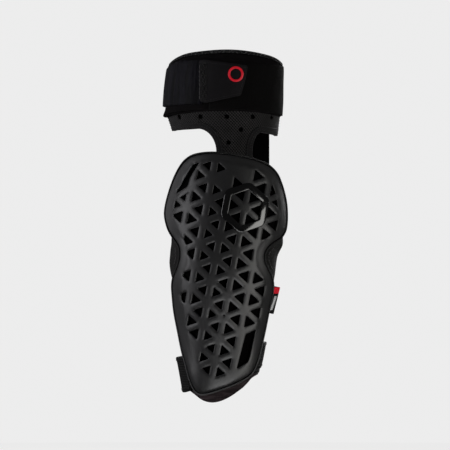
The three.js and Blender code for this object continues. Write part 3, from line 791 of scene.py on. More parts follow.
def shell_face(z):
    """How far out the shell's face lies at a height."""
    bulge = cap_bulge * bell(z, 0, cap_spread)
    near_top = np.clip((z / shell_above - 0.5) / 0.5, 0, 1)
    near_bottom = np.clip((-z / shell_below - 0.86) / 0.14, 0, 1)
    return shell_out + bulge - top_roll * near_top**2 - bottom_roll * near_bottom**2


def seen_angle(x, z, out):
    """The angle round the arm of what is seen at a place in the front view."""
    centre, _, width, _ = arm_at(z)
    return np.degrees(np.arcsin(np.clip((x - centre) / (width + out), -0.995, 0.995)))


def edge_in(loop, distance):
    """The outline drawn in along the curved face, so it keeps its width where the face turns."""
    centre, _, width, _ = arm_at(loop[:, 1])
    aside = (loop[:, 0] - centre) / (width + shell_face(loop[:, 1]) - border_drop)
    lean = np.sqrt(1 - np.clip(aside, -0.99, 0.99) ** 2)
    along = np.roll(loop, -1, 0) - np.roll(loop, 1, 0)
    along[:, 0] /= lean
    along /= np.linalg.norm(along, axis=1, keepdims=True)
    return loop + np.stack([-along[:, 1] * lean, along[:, 0]], 1) * distance


def in_front(plan, fronts, out):
    """Points on the arm for a plan seen from the front, whose face lies at fronts."""
    return on_arm(seen_angle(plan[:, 0], plan[:, 1], fronts), plan[:, 1], out)


rim_width = 2 * piping_radius + seam


def border_share(plan):
    """How far places are from the outline, and a share that runs from 0 at the field to 1."""
    _, far = nearest_on(shell_outline, plan)
    return far, 1 - (far - rim_width) / (border_width - rim_width)


def border_fall(plan):
    """How far the border has dropped from the lattice, by how near the outline it is."""
    return border_drop * np.clip(border_share(plan)[1], 0, 1.1)


pad_cloth, tree, shader = new_finish("pad_cloth", (0.002, 0.002, 0.0022), 0.95)
cloth_sheen(shader, 0.015, shine=0.08)
stitches = woven(tree, (0.0013, 35), (0.0013, -35))
paint(tree, shader, stitches, (0.0003, 0.0002, 0.0003), (0.0026, 0.0021, 0.0025))
relief(tree, shader, stitches, 0.5, 0.0003)

foam_pad = cut_sheet(
    "foam_pad_cloth",
    pad_cloth,
    soften(edge_in(shell_outline, 0.0011), 2),
    [],
    in_front,
    lambda p: shell_face(p[:, 1]) - border_fall(p) - shell_wall - 0.0004,
    all_at(sleeve_wall + 0.0009),
    grid=0.004,
    edge=0.0024,
)
side_dark, side_light = (0.0015, 0.0014, 0.0014), (0.011, 0.0105, 0.0105)
pad_side = knit_finish("pad_side_jersey", side_dark, side_light, 0.06, 0.12)
foam_pad.data.materials.append(pad_side)
for face in foam_pad.data.polygons:
    if len(face.vertices) == 4:
        face.material_index = 1
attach(foam_pad, "root")
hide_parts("foam_pad")

# Pad piping
# A round cord in a folded tape is sewn all round the pad's edge, just outside the shell.
# It catches the light as a thin line along the outline; its colour carries painted shade, dark up
# high and light low down.
piping_tape, tree, shader = new_finish("piping_tape", (0.03, 0.03, 0.031), 0.6)
cloth_sheen(shader, 0.3, 0.3)
wraps_and_painted_shade = yarn_waves(tree, 0.0009)
# Painted shade: the tape's colour is made dark along the upper part of the outline, where little
# light reaches it, and kept at full colour low down.
height = node(tree, "ShaderNodeSeparateXYZ", Vector=place_on(tree)).outputs["Z"]
painted_shade_up_high = ranged(tree, height, -0.06, -0.13, (0.12, 1))
wraps_and_painted_shade = sums(tree, "MULTIPLY", painted_shade_up_high, blended(tree, (wraps_and_painted_shade, 0.5), (0.5, 1)))
paint(tree, shader, wraps_and_painted_shade, (0.006, 0.006, 0.006), (0.13, 0.13, 0.133))
relief(tree, shader, wraps_and_painted_shade, 0.5, 0.0003)


def cord_round(name, finish, centres, radius, sides=12):
    """A closed round cord along its centres."""
    along = np.roll(centres, -1, 0) - np.roll(centres, 1, 0)
    along /= np.linalg.norm(along, axis=1, keepdims=True)
    spine = centres.copy()
    spine[:, :2] -= np.stack(arm_at(centres[:, 2])[:2], 1)
    spine[:, 2] = 0
    across = np.cross(along, spine)
    across /= np.linalg.norm(across, axis=1, keepdims=True)
    up = np.cross(across, along)
    turn = np.linspace(0, math.tau, sides, endpoint=False)[None, :, None]
    round_it = up[:, None] * np.cos(turn) + across[:, None] * np.sin(turn)
    points = centres[:, None] + radius * round_it
    uv = np.zeros((len(centres) + 1, sides + 1, 2))
    uv[..., 0] = length_along(np.vstack([centres, centres[:1]]))[:, None]
    uv[..., 1] = np.linspace(0, math.tau * radius, sides + 1)
    return net(name, finish, points[:, ::-1], uv, round_way=True)


piping_line = soften(edge_in(shell_outline, piping_radius), 2)
piping_face = shell_face(piping_line[:, 1]) - border_drop
piping_centres = in_front(piping_line, piping_face, piping_face - piping_depth)
piping = cord_round("pad_piping_tape", piping_tape, piping_centres, piping_radius)


def ring_piece(name, finish, rings, step):
    """A closed piece through rings of points that lie a step apart."""
    points = np.stack(rings, 1)
    uv = np.zeros((len(points) + 1, len(rings) + 1, 2))
    uv[..., 0] = np.arange(len(points) + 1)[:, None] * step
    uv[..., 1] = np.arange(len(rings) + 1) * 0.0008
    return net(name, finish, points, uv, round_way=True)


# The flange's section: inset along the face, and depth.
flange_section = [(0.0022, 0.0034), (0.0007, 0.0034), (0.0006, 0.0014)]
flange_section += [(0.0012, 0.0009), (0.0022, 0.0009)]
rings = []
for inset, depth in flange_section:
    line = soften(edge_in(shell_outline, inset), 2)
    edge_face = shell_face(line[:, 1]) - border_drop
    rings.append(in_front(line, edge_face, edge_face - depth))
flange = ring_piece("pad_piping_flange", pad_cloth, rings, outline_step)
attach(flange, "root")
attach(piping, "root")
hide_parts("pad_piping")

grey_thread, _ = thread_finish("grey_thread", (0.07, 0.068, 0.07), (0.17, 0.165, 0.17))

for side, name in both_sides:
    line = soften(edge_in(shell_outline, -0.0034), 8)
    line = line[(line[:, 1] < -0.016) & (line[:, 1] > -0.074) & (side * line[:, 0] > 0)]
    line = line[np.argsort(line[:, 1])]
    angle = seen_angle(line[:, 0], line[:, 1], sleeve_wall)
    seen = np.abs(angle) < 72
    path, normals = on_sleeve(angle[seen], line[seen, 1]), outwards(angle[seen])
    stitch_row(f"pad_seam_{name}", grey_thread, path, normals, 0.003, 0.0003, 0.00034)

# Lattice shell
# The hard shell is moulded in satin charcoal plastic: a plain border that falls away from a
# raised field of crowned ribs, pierced by triangular windows, two long slots and a few pits.
lattice_across, lattice_rise = 0.0218, math.radians(18.6)
lattice_down, lattice_lean = 0.0221, math.radians(11)
lattice_node = np.array([-0.0050, -0.0214])
rib_width, rib_swell, rib_crown, crown_half = 0.0072, 0.0012, 0.0004, 0.0028
field_step, step_width = 0.0009, 0.0011
field_foot, field_fade = -0.158, 0.04
flat_below, flat_fade, flat_left_of, flat_aside = -0.11, 0.05, 0.04, 0.03
least_window, slot_border, pit_radius = 0.24, 0.0045, 0.0008
closed_windows = [(-1, -3, "a"), (0, -3, "a"), (0, 6, "b"), (-1, 5, "a")]
step_across = np.array([math.cos(lattice_rise), math.sin(lattice_rise)]) * lattice_across
step_down = np.array([-math.sin(lattice_lean), -math.cos(lattice_lean)]) * lattice_down


def lattice_point(across, down):
    """A node of the lattice, counted in steps across and down from its first."""
    return lattice_node + across * step_across + down * step_down


slot_bound = soften(drawn_in(shell_outline, border_width - slot_border), 6)
upper_slot = [(-1.8, -3.97), (-2.08, -3.97), (-2.42, -3.4)]
upper_slot += [(-2.7, -2.83), (-2.165, -2.99), (-2.125, -3.39)]
lower_slot = [(2.8, 5.17), (2.32, 5.245), (2.2, 6.776), (2.7, 6.635), (2.76, 6.36)]
field = soften(drawn_in(shell_outline, border_width), 6)


def area_of(loop):
    """The area of a closed outline, less than 0 where it runs clockwise."""
    after = np.roll(loop, -1, 0)
    return (loop[:, 0] * after[:, 1] - after[:, 0] * loop[:, 1]).sum() / 2


def circle(radius, count):
    turn = np.linspace(0, math.tau, count, endpoint=False)
    return radius * np.stack([np.cos(turn), np.sin(turn)], 1)


def anticlockwise(corners):
    loop = np.array(corners)
    return loop if area_of(loop) > 0 else loop[::-1]


def polygon(corners):
    """A closed outline through corners, drawn with many points, anticlockwise."""
    return even_loop(anticlockwise(corners), 0.0004)


def kept_inside(loop, bound):
    """What lies outside the bound is brought onto it."""
    outside = ~inside(bound, loop)
    loop = loop.copy()
    if outside.any():
        loop[outside] = nearest_on(bound, loop[outside])[0]
    return loop


def cut_beside(loop, corners, gap):
    """A window beside a slot is cut off straight, along the slot's nearest side."""
    after = np.roll(corners, -1, 0)
    along = (after - corners) / np.linalg.norm(after - corners, axis=1, keepdims=True)
    normals = np.stack([along[:, 1], -along[:, 0]], 1)
    beyond = ((loop.mean(0) - corners) * normals).sum(1)
    side = beyond.argmax()
    short = np.minimum(0, ((loop - corners[side]) * normals[side]).sum(1) - gap)
    return loop - short[:, None] * normals[side]


def narrowed(corners, distance):
    """A triangle with all three sides moved in."""
    corners = np.array(corners)
    sides = np.linalg.norm(np.roll(corners, -1, 0) - np.roll(corners, 1, 0), axis=1)
    centre = (corners * sides[:, None]).sum(0) / sides.sum()
    share = 1 - distance * sides.sum() / (2 * abs(area_of(corners)))
    return centre + (corners - centre) * share


slots = (upper_slot, lower_slot)
slot_corners = [anticlockwise([lattice_point(*p) for p in slot]) for slot in slots]


def rib_at(x):
    """The ribs are broadest along the shell's middle line."""
    return rib_width - rib_swell + rib_swell * bell(x, -0.014, 0.017)


window_loops = []
for i in range(-9, 10):
    for j in range(-9, 10):
        near, far = lattice_point(i, j), lattice_point(i + 1, j + 1)
        beside, below = lattice_point(i + 1, j), lattice_point(i, j + 1)
        for half, corners in (("a", (near, beside, far)), ("b", (near, far, below))):
            whole = polygon(narrowed(corners, rib_at(np.mean(corners, axis=0)[0]) / 2))
            if (i, j, half) in closed_windows or not inside(field, whole).any():
                continue
            part = kept_inside(whole, field)
            for slot in slot_corners:
                part = cut_beside(part, slot, rib_at(whole[:, 0].mean()) - 0.0004)
            if area_of(part) > least_window * area_of(whole):
                window_loops.append(even_loop(soften(part, 3), 0.0007))
slot_cuts = []
for corners in slot_corners:
    slot = soften(kept_inside(polygon(corners), slot_bound), 4)
    slot_cuts.append(even_loop(slot, 0.0009))
pit_places = [(1.0, 3.93), (1.9, -0.33), (2.03, -0.01)]
pits = [lattice_point(*spot) + circle(pit_radius, 10) for spot in pit_places]
far_from_windows = far_from(np.vstack(window_loops + slot_cuts))


def lattice_face(plan):
    """The shell's face: raised field, crowned ribs and falling border, flatter low on the left."""
    far, slope = border_share(plan)
    slope = np.clip(slope, 0, 1)
    rise = field_step * np.clip((plan[:, 1] - field_foot) / field_fade, 0, 1)
    flat = np.clip((flat_below - plan[:, 1]) / flat_fade, 0, 1)
    flat = flat * np.clip((flat_left_of - plan[:, 0]) / flat_aside, 0, 1)
    fall = (border_drop + 0.0005 - rise) * (slope * (1 - flat) + slope**5 * flat)
    step = np.clip((far - border_width + 0.0004) / step_width, 0, 1)
    raised = rise * step * step * (3 - 2 * step)
    crown = np.clip(1 - far_from_windows(plan) / crown_half, 0, 1) ** 2 * rib_crown
    return shell_face(plan[:, 1]) - fall + raised - rise - crown * (far > border_width - 0.001)


satin_plastic, tree, shader = new_finish("satin_plastic", (0.02, 0.02, 0.021), 0.4)
patches = uneven(tree, 0.035, 4)
paint(tree, shader, patches, (0.022, 0.022, 0.0228), (0.034, 0.034, 0.035))
tree.links.new(ranged(tree, patches, 0, 1, (0.4, 0.52)), shader.inputs["Roughness"])
relief(tree, shader, uneven(tree, 0.0009, 2), 0.12, 0.0002)
shader.inputs["Specular IOR Level"].default_value = 0.6

shell_edge = soften(edge_in(shell_outline, rim_width + 0.0004), 4)
lattice_shell = cut_sheet(
    "lattice_shell_satin",
    satin_plastic,
    shell_edge,
    [*window_loops, *slot_cuts, *pits],
    in_front,
    lattice_face,
    lambda p: shell_face(p[:, 1]) - border_fall(p) - shell_wall,
    grid=0.0021,
    edge=0.0006,
)
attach(lattice_shell, "root")
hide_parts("lattice_shell")

# Gloss inlay
# A polished black bar is set on the ribs as a hexagon round one node of the lattice.
# Its edges are bevelled, so they draw a bright line.
inlay_node = (1, -1)
inlay_width, inlay_rise, inlay_step = 0.0068, 0.0012, 0.0008
inlay_round = [(1, 0), (1, 1), (0, 1), (-1, 0), (-1, -1), (0, -1)]
inlay_corners = [lattice_point(inlay_node[0] + u, inlay_node[1] + v) for u, v in inlay_round]
inlay_path = polygon(inlay_corners)
inlay_path = soften(even_loop(soften(inlay_path, 30), inlay_step), 2)
inlay_profile = [(-0.5, -0.0012), (-0.5, 0.55), (-0.47, 0.85), (-0.4, 1), (0, 1.04)]
inlay_profile += [(-u, h) for u, h in reversed(inlay_profile[:-1])]
rings = []
for share, height in inlay_profile:
    line = drawn_in(inlay_path, share * inlay_width)
    base = shell_face(line[:, 1])
    lift = height * inlay_rise if height > 0 else -0.0008
    rings.append(in_front(line, base + lift, base + lift + seam))

polished_black, tree, shader = new_finish("polished_black", (0.001, 0.001, 0.0012), 0.12)
shader.inputs["Specular IOR Level"].default_value = 0.9
smears = ranged(tree, uneven(tree, 0.012, 3), 0, 1, (0.08, 0.2))
tree.links.new(smears, shader.inputs["Roughness"])
inlay = ring_piece("gloss_inlay_bar", polished_black, rings, inlay_step)
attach(inlay, "root")
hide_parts("gloss_inlay")

# Cuff
# A padded band of stretch knit closes round the upper arm, a soft ring of thin foam between two
# cloths. Its top edge is bound with a folded tape, held by one row of stitches.
cuff_wall, cuff_arch, cuff_side_drop, cuff_arch_power = 0.004, 0.0015, 0.013, 1.35
cuff_lowered, front_lift, front_lift_power, cuff_raised = 0.003, 0.0055, 1.4, 0.0012
left_shoulder, right_shoulder, hem_flare, hem_share = 0.0019, 0.0009, 0.0036, 0.11
binding_height, binding_proud = 0.004, 0.0008


def cuff_low(angle):
    forward = np.cos(np.radians(angle))
    lift = np.maximum(0, forward) ** front_lift_power * front_lift
    return cuff_bottom - cuff_lowered + (lift + np.maximum(0, -forward) * cuff_arch)


def cuff_high(angle):
    front = np.maximum(0, np.cos(np.radians(angle))) ** cuff_arch_power
    turned = (np.asarray(angle, float) + 180) % 360 - 180
    shoulders = left_shoulder * bell(turned, -52, 22) + right_shoulder * bell(turned, 58, 18)
    return upper_reach + cuff_raised - cuff_side_drop * (1 - front) + shoulders


def cuff_puff(angle, up):
    swell = np.sin(np.clip(up, 0, 1) * math.pi) ** 0.5 * 0.0004
    hem = to_left(angle) ** 2 * hem_flare * bell(np.clip(up, 0, 1), 0, hem_share)
    return swell + hem + ripples(np.radians(angle) * 0.055, up * 0.06, 0.03, 8) * 0.0002


cuff_dark, cuff_light = (0.0014, 0.0012, 0.0013), (0.021, 0.0185, 0.02)
cuff_jersey = knit_finish("cuff_jersey", cuff_dark, cuff_light, 0.0, 0.05)
cuff_band = round_strip(
    "cuff_band_knit",
    cuff_jersey,
    np.linspace(-180, 180, 121),
    cuff_low,
    lambda a: cuff_high(a) - 0.002,
    0,
    cuff_wall,
    rows=40,
    puff=cuff_puff,
)
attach(cuff_band, "root")
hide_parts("cuff_band")

binding_tape, tree, shader = new_finish("binding_tape", (0.01, 0.01, 0.011), 0.75)
cloth_sheen(shader, 0.2, 0.35)
weave = woven(tree, (0.0008, 40), (0.0008, -40))
paint(tree, shader, weave, (0.007, 0.0068, 0.0075), (0.043, 0.0405, 0.042))
relief(tree, shader, weave, 0.6, 0.0003)

cuff_binding = round_strip(
    "cuff_binding_tape",
    binding_tape,
    np.linspace(-180, 180, 181),
    lambda a: cuff_high(a) - binding_height,
    cuff_high,
    -binding_proud,
    cuff_wall + binding_proud,
    rows=6,
    edge=0.0019,
    puff=lambda a, up: 0.00012 * np.sin(np.radians(a) * 100) * bell(up, 0.25, 0.25),
)
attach(cuff_binding, "root")
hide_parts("cuff_binding")

round_angles = np.linspace(-180, 180, 361)[:-1]
binding_seam, binding_out = cuff_high(round_angles) - 0.0031, cuff_wall + binding_proud + 0.0001
path, normals = on_arm(round_angles, binding_seam, binding_out), outwards(round_angles)
stitch_row(
    "cuff_binding_stitches", black_thread, path, normals, 0.0022, 0.0009, 0.00028, closed=True
)

# Elastic strap
# A broad woven elastic is sewn to the back of the cuff and comes round its left side to the
# front, where the hook tab is sewn over its end.
strap_thickness, strap_width, strap_rise = 0.0016, 0.044, 0.008
loop_rise, strap_margin = 0.0015, 0.0055
strap_join, strap_back = -16, 170
strap_inner = cuff_wall + seam


def strap_low(angle):
    return cuff_bottom + cuff_arch * np.cos(np.radians(angle)) + strap_rise


def strap_high(angle):
    return np.minimum(strap_low(angle) + strap_width, cuff_high(angle) - strap_margin)


smooth_elastic, tree, shader = new_finish("smooth_elastic", (0.004, 0.004, 0.006), 0.5)
cloth_sheen(shader, 0.04, 0.3, 0.1)
ribs = yarn_waves(tree, 0.0011, 90)
# Painted sheen: soft slanted light streaks in the elastic's colour stand in for its reflections;
# the same streaks also shape its relief.
painted_sheen_streaks = ranged(tree, streaked(tree, 0.007, 0.045, -45), 0.38, 0.66, kind="SMOOTHSTEP")
weave = blended(tree, (ribs, 0.3), (painted_sheen_streaks, 0.7))
paint(tree, shader, weave, (0.0002, 0.0002, 0.0009), (0.0068, 0.006, 0.0125))
relief(tree, shader, blended(tree, (ribs, 1), (painted_sheen_streaks, 2)), 0.4, 0.0004)
side_flare, foot_flare = 0.0007, 0.0008


def elastic_puff(angle, up):
    flare = side_flare + foot_flare * (1 - np.clip(up, 0, 1)) ** 1.5
    waves = ripples(np.radians(angle) * 0.06, up * 0.044, 0.04, 11) * 0.00015
    return to_left(angle) ** 3 * flare + waves


elastic_strap = round_strip(
    "elastic_strap_weave",
    smooth_elastic,
    np.linspace(-strap_back, strap_join - 6, 90),
    strap_low,
    strap_high,
    strap_inner,
    strap_inner + strap_thickness,
    rows=22,
    edge=0.0006,
    puff=elastic_puff,
)
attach(elastic_strap, "root")
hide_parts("elastic_strap")

# Loop panel
# The right side of the cuff is covered with a brushed loop cloth that the tab's hooks hold in.
# It is deep black and velvety, sewn down along its edges.
loop_pile, tree, shader = new_finish("loop_pile", (0.002, 0.0015, 0.0015), 1.0)
cloth_sheen(shader, 0.02, 0.6)
fuzz = uneven(tree, 0.0012, 4)
paint(tree, shader, fuzz, (0.0004, 0.0003, 0.0003), (0.0034, 0.0026, 0.0026))
relief(tree, shader, fuzz, 0.9, 0.0006)


def loop_low(angle):
    return cuff_low(angle) + loop_rise


def loop_high(angle):
    full = strap_low(angle) - strap_rise + strap_width
    return np.minimum(full, cuff_high(angle) - strap_margin) + 0.004


loop_panel = round_strip(
    "loop_panel_pile",
    loop_pile,
    np.linspace(strap_join + 2, strap_back, 100),
    loop_low,
    loop_high,
    strap_inner,
    strap_inner + strap_thickness,
    rows=24,
    edge=0.0006,
    puff=lambda a, up: ripples(np.radians(a) * 0.06, up * 0.044, 0.02, 12) * 0.0002,
)
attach(loop_panel, "root")
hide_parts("loop_panel")

# Hook tab
# A smooth faced tab with hooks behind is sewn over the elastic's end by a dense bar of stitches
# and pressed on the loop panel. A plain red rubber ring is welded on its face.
tab_length, tab_start, tab_thickness = 0.0485, -0.0257, 0.0014
tab_outline = [(0, 0.98), (0.07, 1), (1, 0.73), (0.965, 0.19)]
tab_outline += [(0.857, -0.62), (0.185, -0.94), (0.02, -0.92)]
tab_edge, tab_groove = 0.0022, 0.00025
tab_middle = float(strap_low(0.0)) + strap_width / 2
tab_inner = strap_inner + strap_thickness + 2 * seam
tab_corners = np.array(tab_outline) * (tab_length, strap_width / 2) + (tab_start, tab_middle)
tab_loop = soften(even_loop(soften(polygon(tab_corners), 14), 0.001), 1)

tab_cloth, tree, shader = new_finish("tab_cloth", (0.013, 0.012, 0.014), 0.66)
cloth_sheen(shader, 0.1)
weave = woven(tree, (0.0007, 45), (0.0007, -45))
blend = blended(tree, (weave, 0.4), (uneven(tree, 0.01), 0.6))
paint(tree, shader, blend, (0.0046, 0.0039, 0.0052), (0.0145, 0.0122, 0.0155))
relief(tree, shader, weave, 0.4, 0.0002)


def tab_face(plan):
    """The tab's face, pressed in along its seam and a little wavy."""
    _, far = nearest_on(tab_loop, plan)
    groove = bell(far, tab_edge, 0.0007) * tab_groove
    waves = ripples(plan[:, 0], plan[:, 1], 0.03, 21) * 0.00015
    return tab_inner + tab_thickness + 0.0002 - groove + waves


hook_tab = cut_sheet(
    "hook_tab_cloth",
    tab_cloth,
    tab_loop,
    [],
    in_front,
    tab_face,
    all_at(tab_inner),
    grid=0.0016,
    edge=0.0006,
)
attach(hook_tab, "root")
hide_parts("hook_tab")


def seen_path(plan, out):
    """Points on a face seen in the front view, and the way out from it."""
    angle = seen_angle(plan[:, 0], plan[:, 1], out)
    return on_arm(angle, plan[:, 1], out), outwards(angle)


tab_seam = even_loop(drawn_in(tab_loop, tab_edge), 0.0006)
path, normals = seen_path(tab_seam, tab_face(tab_seam) + 0.00005)
stitch_row("hook_tab_stitches", black_thread, path, normals, 0.0018, 0.0008, 0.00022, closed=True)

bar_left, bar_right, bar_rows = tab_start + 0.0012, tab_start + 0.0078, 38
bar_heights = np.linspace(tab_middle - 0.0185, tab_middle + 0.0195, bar_rows)
bar_heights[1::2] = bar_heights[::2] + 0.0003
turns = np.stack([np.where(np.arange(bar_rows) % 2, bar_left, bar_right), bar_heights], 1)
share = np.linspace(0, 1, 6, endpoint=False)[:, None]
zigzag = np.vstack([here + (after - here) * share for here, after in zip(turns, turns[1:])])
path, normals = seen_path(zigzag, np.full(len(zigzag), tab_inner + tab_thickness + 0.0004))
tab_thread, _ = thread_finish("tab_thread", (0.001, 0.001, 0.001), (0.006, 0.0055, 0.006), 0.6)
stitch_row("hook_tab_bar_stitches", tab_thread, path, normals, 0.0031, 0.0002, 0.00048)
fold_heights = np.linspace(tab_middle - 0.0175, tab_middle + 0.0185, 60)
fold = np.stack([np.full(60, tab_start + 0.0005), fold_heights], 1)
path, normals = seen_path(fold, np.full(60, tab_inner + tab_thickness + 0.0002))
stitch_row("hook_tab_fold_stitches", grey_thread, path, normals, 0.0042, 0.0001, 0.0003)

ring_middle = np.array([0.0107, tab_middle + 0.0075])
ring_radius, ring_width, ring_height = 0.0066, 0.0023, 0.0007
ring_profile = [(-0.5, -0.3), (-0.5, 0.5), (-0.38, 0.9), (0, 1)]
ring_profile += [(-share, height) for share, height in ring_profile[2::-1]]
rings = []
for share, height in ring_profile:
    line = ring_middle + circle(ring_radius - share * ring_width, 72)
    rings.append(seen_path(line, tab_face(line) + height * ring_height)[0])
red_rubber, tree, shader = new_finish("red_rubber", (0.72, 0.012, 0.03), 0.42)
paint(tree, shader, uneven(tree, 0.004), (0.62, 0.009, 0.022), (0.8, 0.016, 0.036))
relief(tree, shader, uneven(tree, 0.0007, 2), 0.15, 0.0001)
# Painted glow: a faint red emission makes the ring shine brighter than its lighting makes it,
# though it is no lamp.
self_lit(shader, (1, 0.01, 0.03), 0.2)
tab_ring = ring_piece("tab_ring_rubber", red_rubber, rings, 0.0006)
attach(tab_ring, "root")

# Yoke
# A panel of diamond net over cloth joins the shell's top to the cuff. It has a narrow neck, a
# skirt along the cuff, and rows of punched holes; both curved edges are bound and stitched.
yoke_wall, yoke_end = 0.0025, 100
neck_width, neck_side, edge_binding = 0.0356, 0.0092, 0.0065
notches = {-1: (0.015, 0.0185, 0.023), 1: (0.0185, 0.010, 0.020)}
skirt_droop, skirt_corner = {-1: 0.0015, 1: 0.003}, 0.0075
hole_radius, hole_turn, hole_row, hole_first, hole_inset = 0.0024, 28.4, 0.0128, 3.4, 0.003
yoke_edge = 0.0006
yoke_round = elbow_half_width + yoke_wall
yoke_hem = shell_above - yoke_tuck


def unrolled(angle, z):
    """Places on the yoke laid flat."""
    return np.stack(np.broadcast_arrays(np.radians(angle) * yoke_round, z), -1)


def round_arm(plan, fronts, out):
    """Points on the arm for a plan laid flat."""
    return on_arm(np.degrees(plan[:, 0] / yoke_round), plan[:, 1], out)


def notch_curve(side, grow):
    """The bound edge beside the neck, from the skirt's end down to the hem."""
    drop, across, down = notches[side]
    edge = neck_side + side * neck_width / 2
    flap = cuff_bottom - drop
    turn = np.linspace(0, math.pi / 2, 24)
    x = edge + side * across - side * (across + grow) * np.sin(turn)
    z = flap - down + (down + grow) * np.cos(turn)
    x = np.append(x, edge - side * grow)
    z = np.append(z, yoke_hem)
    corner_angle = seen_angle(x, z, yoke_wall)
    bend = np.linspace(math.pi / 2, 0, 10)
    lift = cuff_bottom - 0.002 - flap + skirt_droop[side]
    low = flap - skirt_droop[side]
    start = math.radians(yoke_end) * yoke_round - skirt_corner
    end_x = side * (start + (skirt_corner - grow) * np.sin(bend))
    end = np.stack([end_x, low + lift - (lift - grow) * np.cos(bend)], 1)
    flat = np.linspace(math.degrees(side * start / yoke_round), corner_angle[0], 30)[1:-1]
    level = flap + grow - skirt_droop[side] * np.linspace(1, 0, 30)[1:-1] ** 0.7
    return np.concatenate([end, unrolled(flat, level), unrolled(corner_angle, z)])


left_edge, right_edge = notch_curve(-1, 0), notch_curve(1, 0)
skirt_angles = np.linspace(yoke_end, -yoke_end, 60)
skirt_top = unrolled(skirt_angles, cuff_low(skirt_angles) - seam + 0.002)
yoke_loop = even_loop(np.vstack([left_edge, right_edge[::-1], skirt_top]), 0.0012)
yoke_holes = []
for row in range(3):
    z = cuff_bottom - hole_inset - row * hole_row
    reach = 2 if row == 0 else 1
    for k in range(-reach, reach + 1):
        angle = hole_first + (hole_turn / 2 if row % 2 else 0) + k * hole_turn
        middle = unrolled(angle, z)
        far = min(nearest_on(edge, middle[None])[1][0] for edge in (left_edge, right_edge))
        if inside(yoke_loop, middle[None])[0] and far > edge_binding + hole_radius:
            yoke_holes.append(middle + circle(hole_radius, 18))

net_cloth, tree, shader = new_finish("net_cloth", (0.02, 0.019, 0.02), 0.8)
cloth_sheen(shader, 0.04, shine=0.35)
second = sums(tree, "MULTIPLY", yarn_waves(tree, 0.0022, 42), 0.92)
threads = sums(tree, "MAXIMUM", yarn_waves(tree, 0.00215, -42), second)
patchy = blended(tree, (uneven(tree, 0.016), 1.1), (0.15, 1))
crisp = ranged(tree, threads, 0.78, 0.97, kind="SMOOTHSTEP")
crisp = sums(tree, "MULTIPLY", crisp, patchy)
paint(tree, shader, crisp, (0.0002, 0.0002, 0.0002), (0.095, 0.0895, 0.0925))
relief(tree, shader, crisp, 0.8, 0.0005)

lining = cut_sheet(
    "yoke_lining",
    pad_cloth,
    soften(even_loop(drawn_in(yoke_loop, 0.0008), 0.0024), 1),
    [],
    round_arm,
    all_at(0.0007),
    all_at(0.0001),
    grid=0.004,
    edge=0.0002,
)
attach(lining, "root")

yoke = cut_sheet(
    "yoke_net",
    net_cloth,
    yoke_loop,
    yoke_holes,
    round_arm,
    lambda p: yoke_wall + ripples(p[:, 0], p[:, 1], 0.04, 31) * 0.0002,
    all_at(0.0008),
    grid=0.0026,
    edge=yoke_edge,
)
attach(yoke, "root")
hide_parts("yoke")

# The binding's section: shares across, and heights as shares of how far it stands out.
tape_section = [(0, -0.6), (0, 0.5), (0.06, 0.95), (0.2, 1), (0.5, 1), (0.62, 0.95)]
tape_section += [(0.68, 0.55), (0.74, 0.9), (0.9, 0.9), (1, 0.5), (1, 0), (1, -0.6)]
for side, name in both_sides:
    rings = []
    inner_edge, outer_edge = notch_curve(side, 0), notch_curve(side, edge_binding)
    for share, height in tape_section:
        line = inner_edge + (outer_edge - inner_edge) * share
        out = -binding_proud * 0.5 if height < 0 else yoke_wall + binding_proud * height
        rings.append(round_arm(line, None, out))
    tape = np.stack(rings, 1)
    tape = tape if side < 0 else tape[::-1]
    tape_uv = np.zeros((len(tape), len(tape_section) + 1, 2))
    tape_uv[..., 0] = length_along(inner_edge)[:, None]
    tape_uv[:, :-1, 1] = np.array(tape_section)[:, 0] * edge_binding
    binding = net(f"yoke_binding_{name}_tape", binding_tape, tape, tape_uv)
    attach(binding, "root")
    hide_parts(f"yoke_binding_{name}")
    for row, share in enumerate((0.4, 0.86)):
        line = inner_edge + (outer_edge - inner_edge) * share
        path = round_arm(line, None, yoke_wall + binding_proud * 0.98)
        normals = outwards(np.degrees(line[:, 0] / yoke_round))
        row_name = f"yoke_binding_{name}_stitches_{row + 1}"
        stitch_row(row_name, black_thread, path, normals, 0.0019, 0.0009, 0.00024)

# Back panel
# A strip of smooth black stretch cloth joins the back of the sleeve to the cuff, with its side
# edges turned in and seamed.
back_panel_wall, back_panel_width, back_panel_side = 0.0018, 0.0415, 0.0238
back_panel_edge, turned_edge, panel_sewn = 0.0008, 0.0018, (0.058, 0.097)
strip_x = np.linspace(-0.5, 0.5, 33) * back_panel_width + back_panel_side
section = strip_section(30)
panel_points, panel_uv = [], []
for x in strip_x:
    angle = 180.0
    for _ in range(6):
        middle = (sleeve_top(angle) + cuff_low(angle)) / 2
        angle = 180 - float(seen_angle(x, middle, back_panel_wall))
    low, high = sleeve_top(angle) - 0.001, cuff_low(angle) + 0.002
    z = low + (high - low) * section[:, 1] + section[:, 3] * back_panel_edge
    face_angle = 180 - seen_angle(x, z, back_panel_wall)
    aside = abs(x - back_panel_side) - back_panel_width / 2
    rim = bell(aside, -turned_edge, turned_edge / 2) * 0.0005
    out = (back_panel_wall + rim) * section[:, 0] + section[:, 2] * back_panel_edge
    panel_points.append(on_arm(face_angle, z, out))
    panel_uv.append(np.stack([np.full(len(z) + 1, x), np.append(z, z[0])], -1))
panel_points = end_caps(np.array(panel_points)[::-1])
panel_uv = np.array([panel_uv[0], *panel_uv, panel_uv[-1]])
back_dark, back_light = (0.0004, 0.0003, 0.0003), (0.0022, 0.002, 0.002)
back_cloth = knit_finish("back_cloth", back_dark, back_light, 0.01, 0.04)
back_panel = net("back_panel_cloth", back_cloth, panel_points, panel_uv)
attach(back_panel, "root")
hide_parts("back_panel")

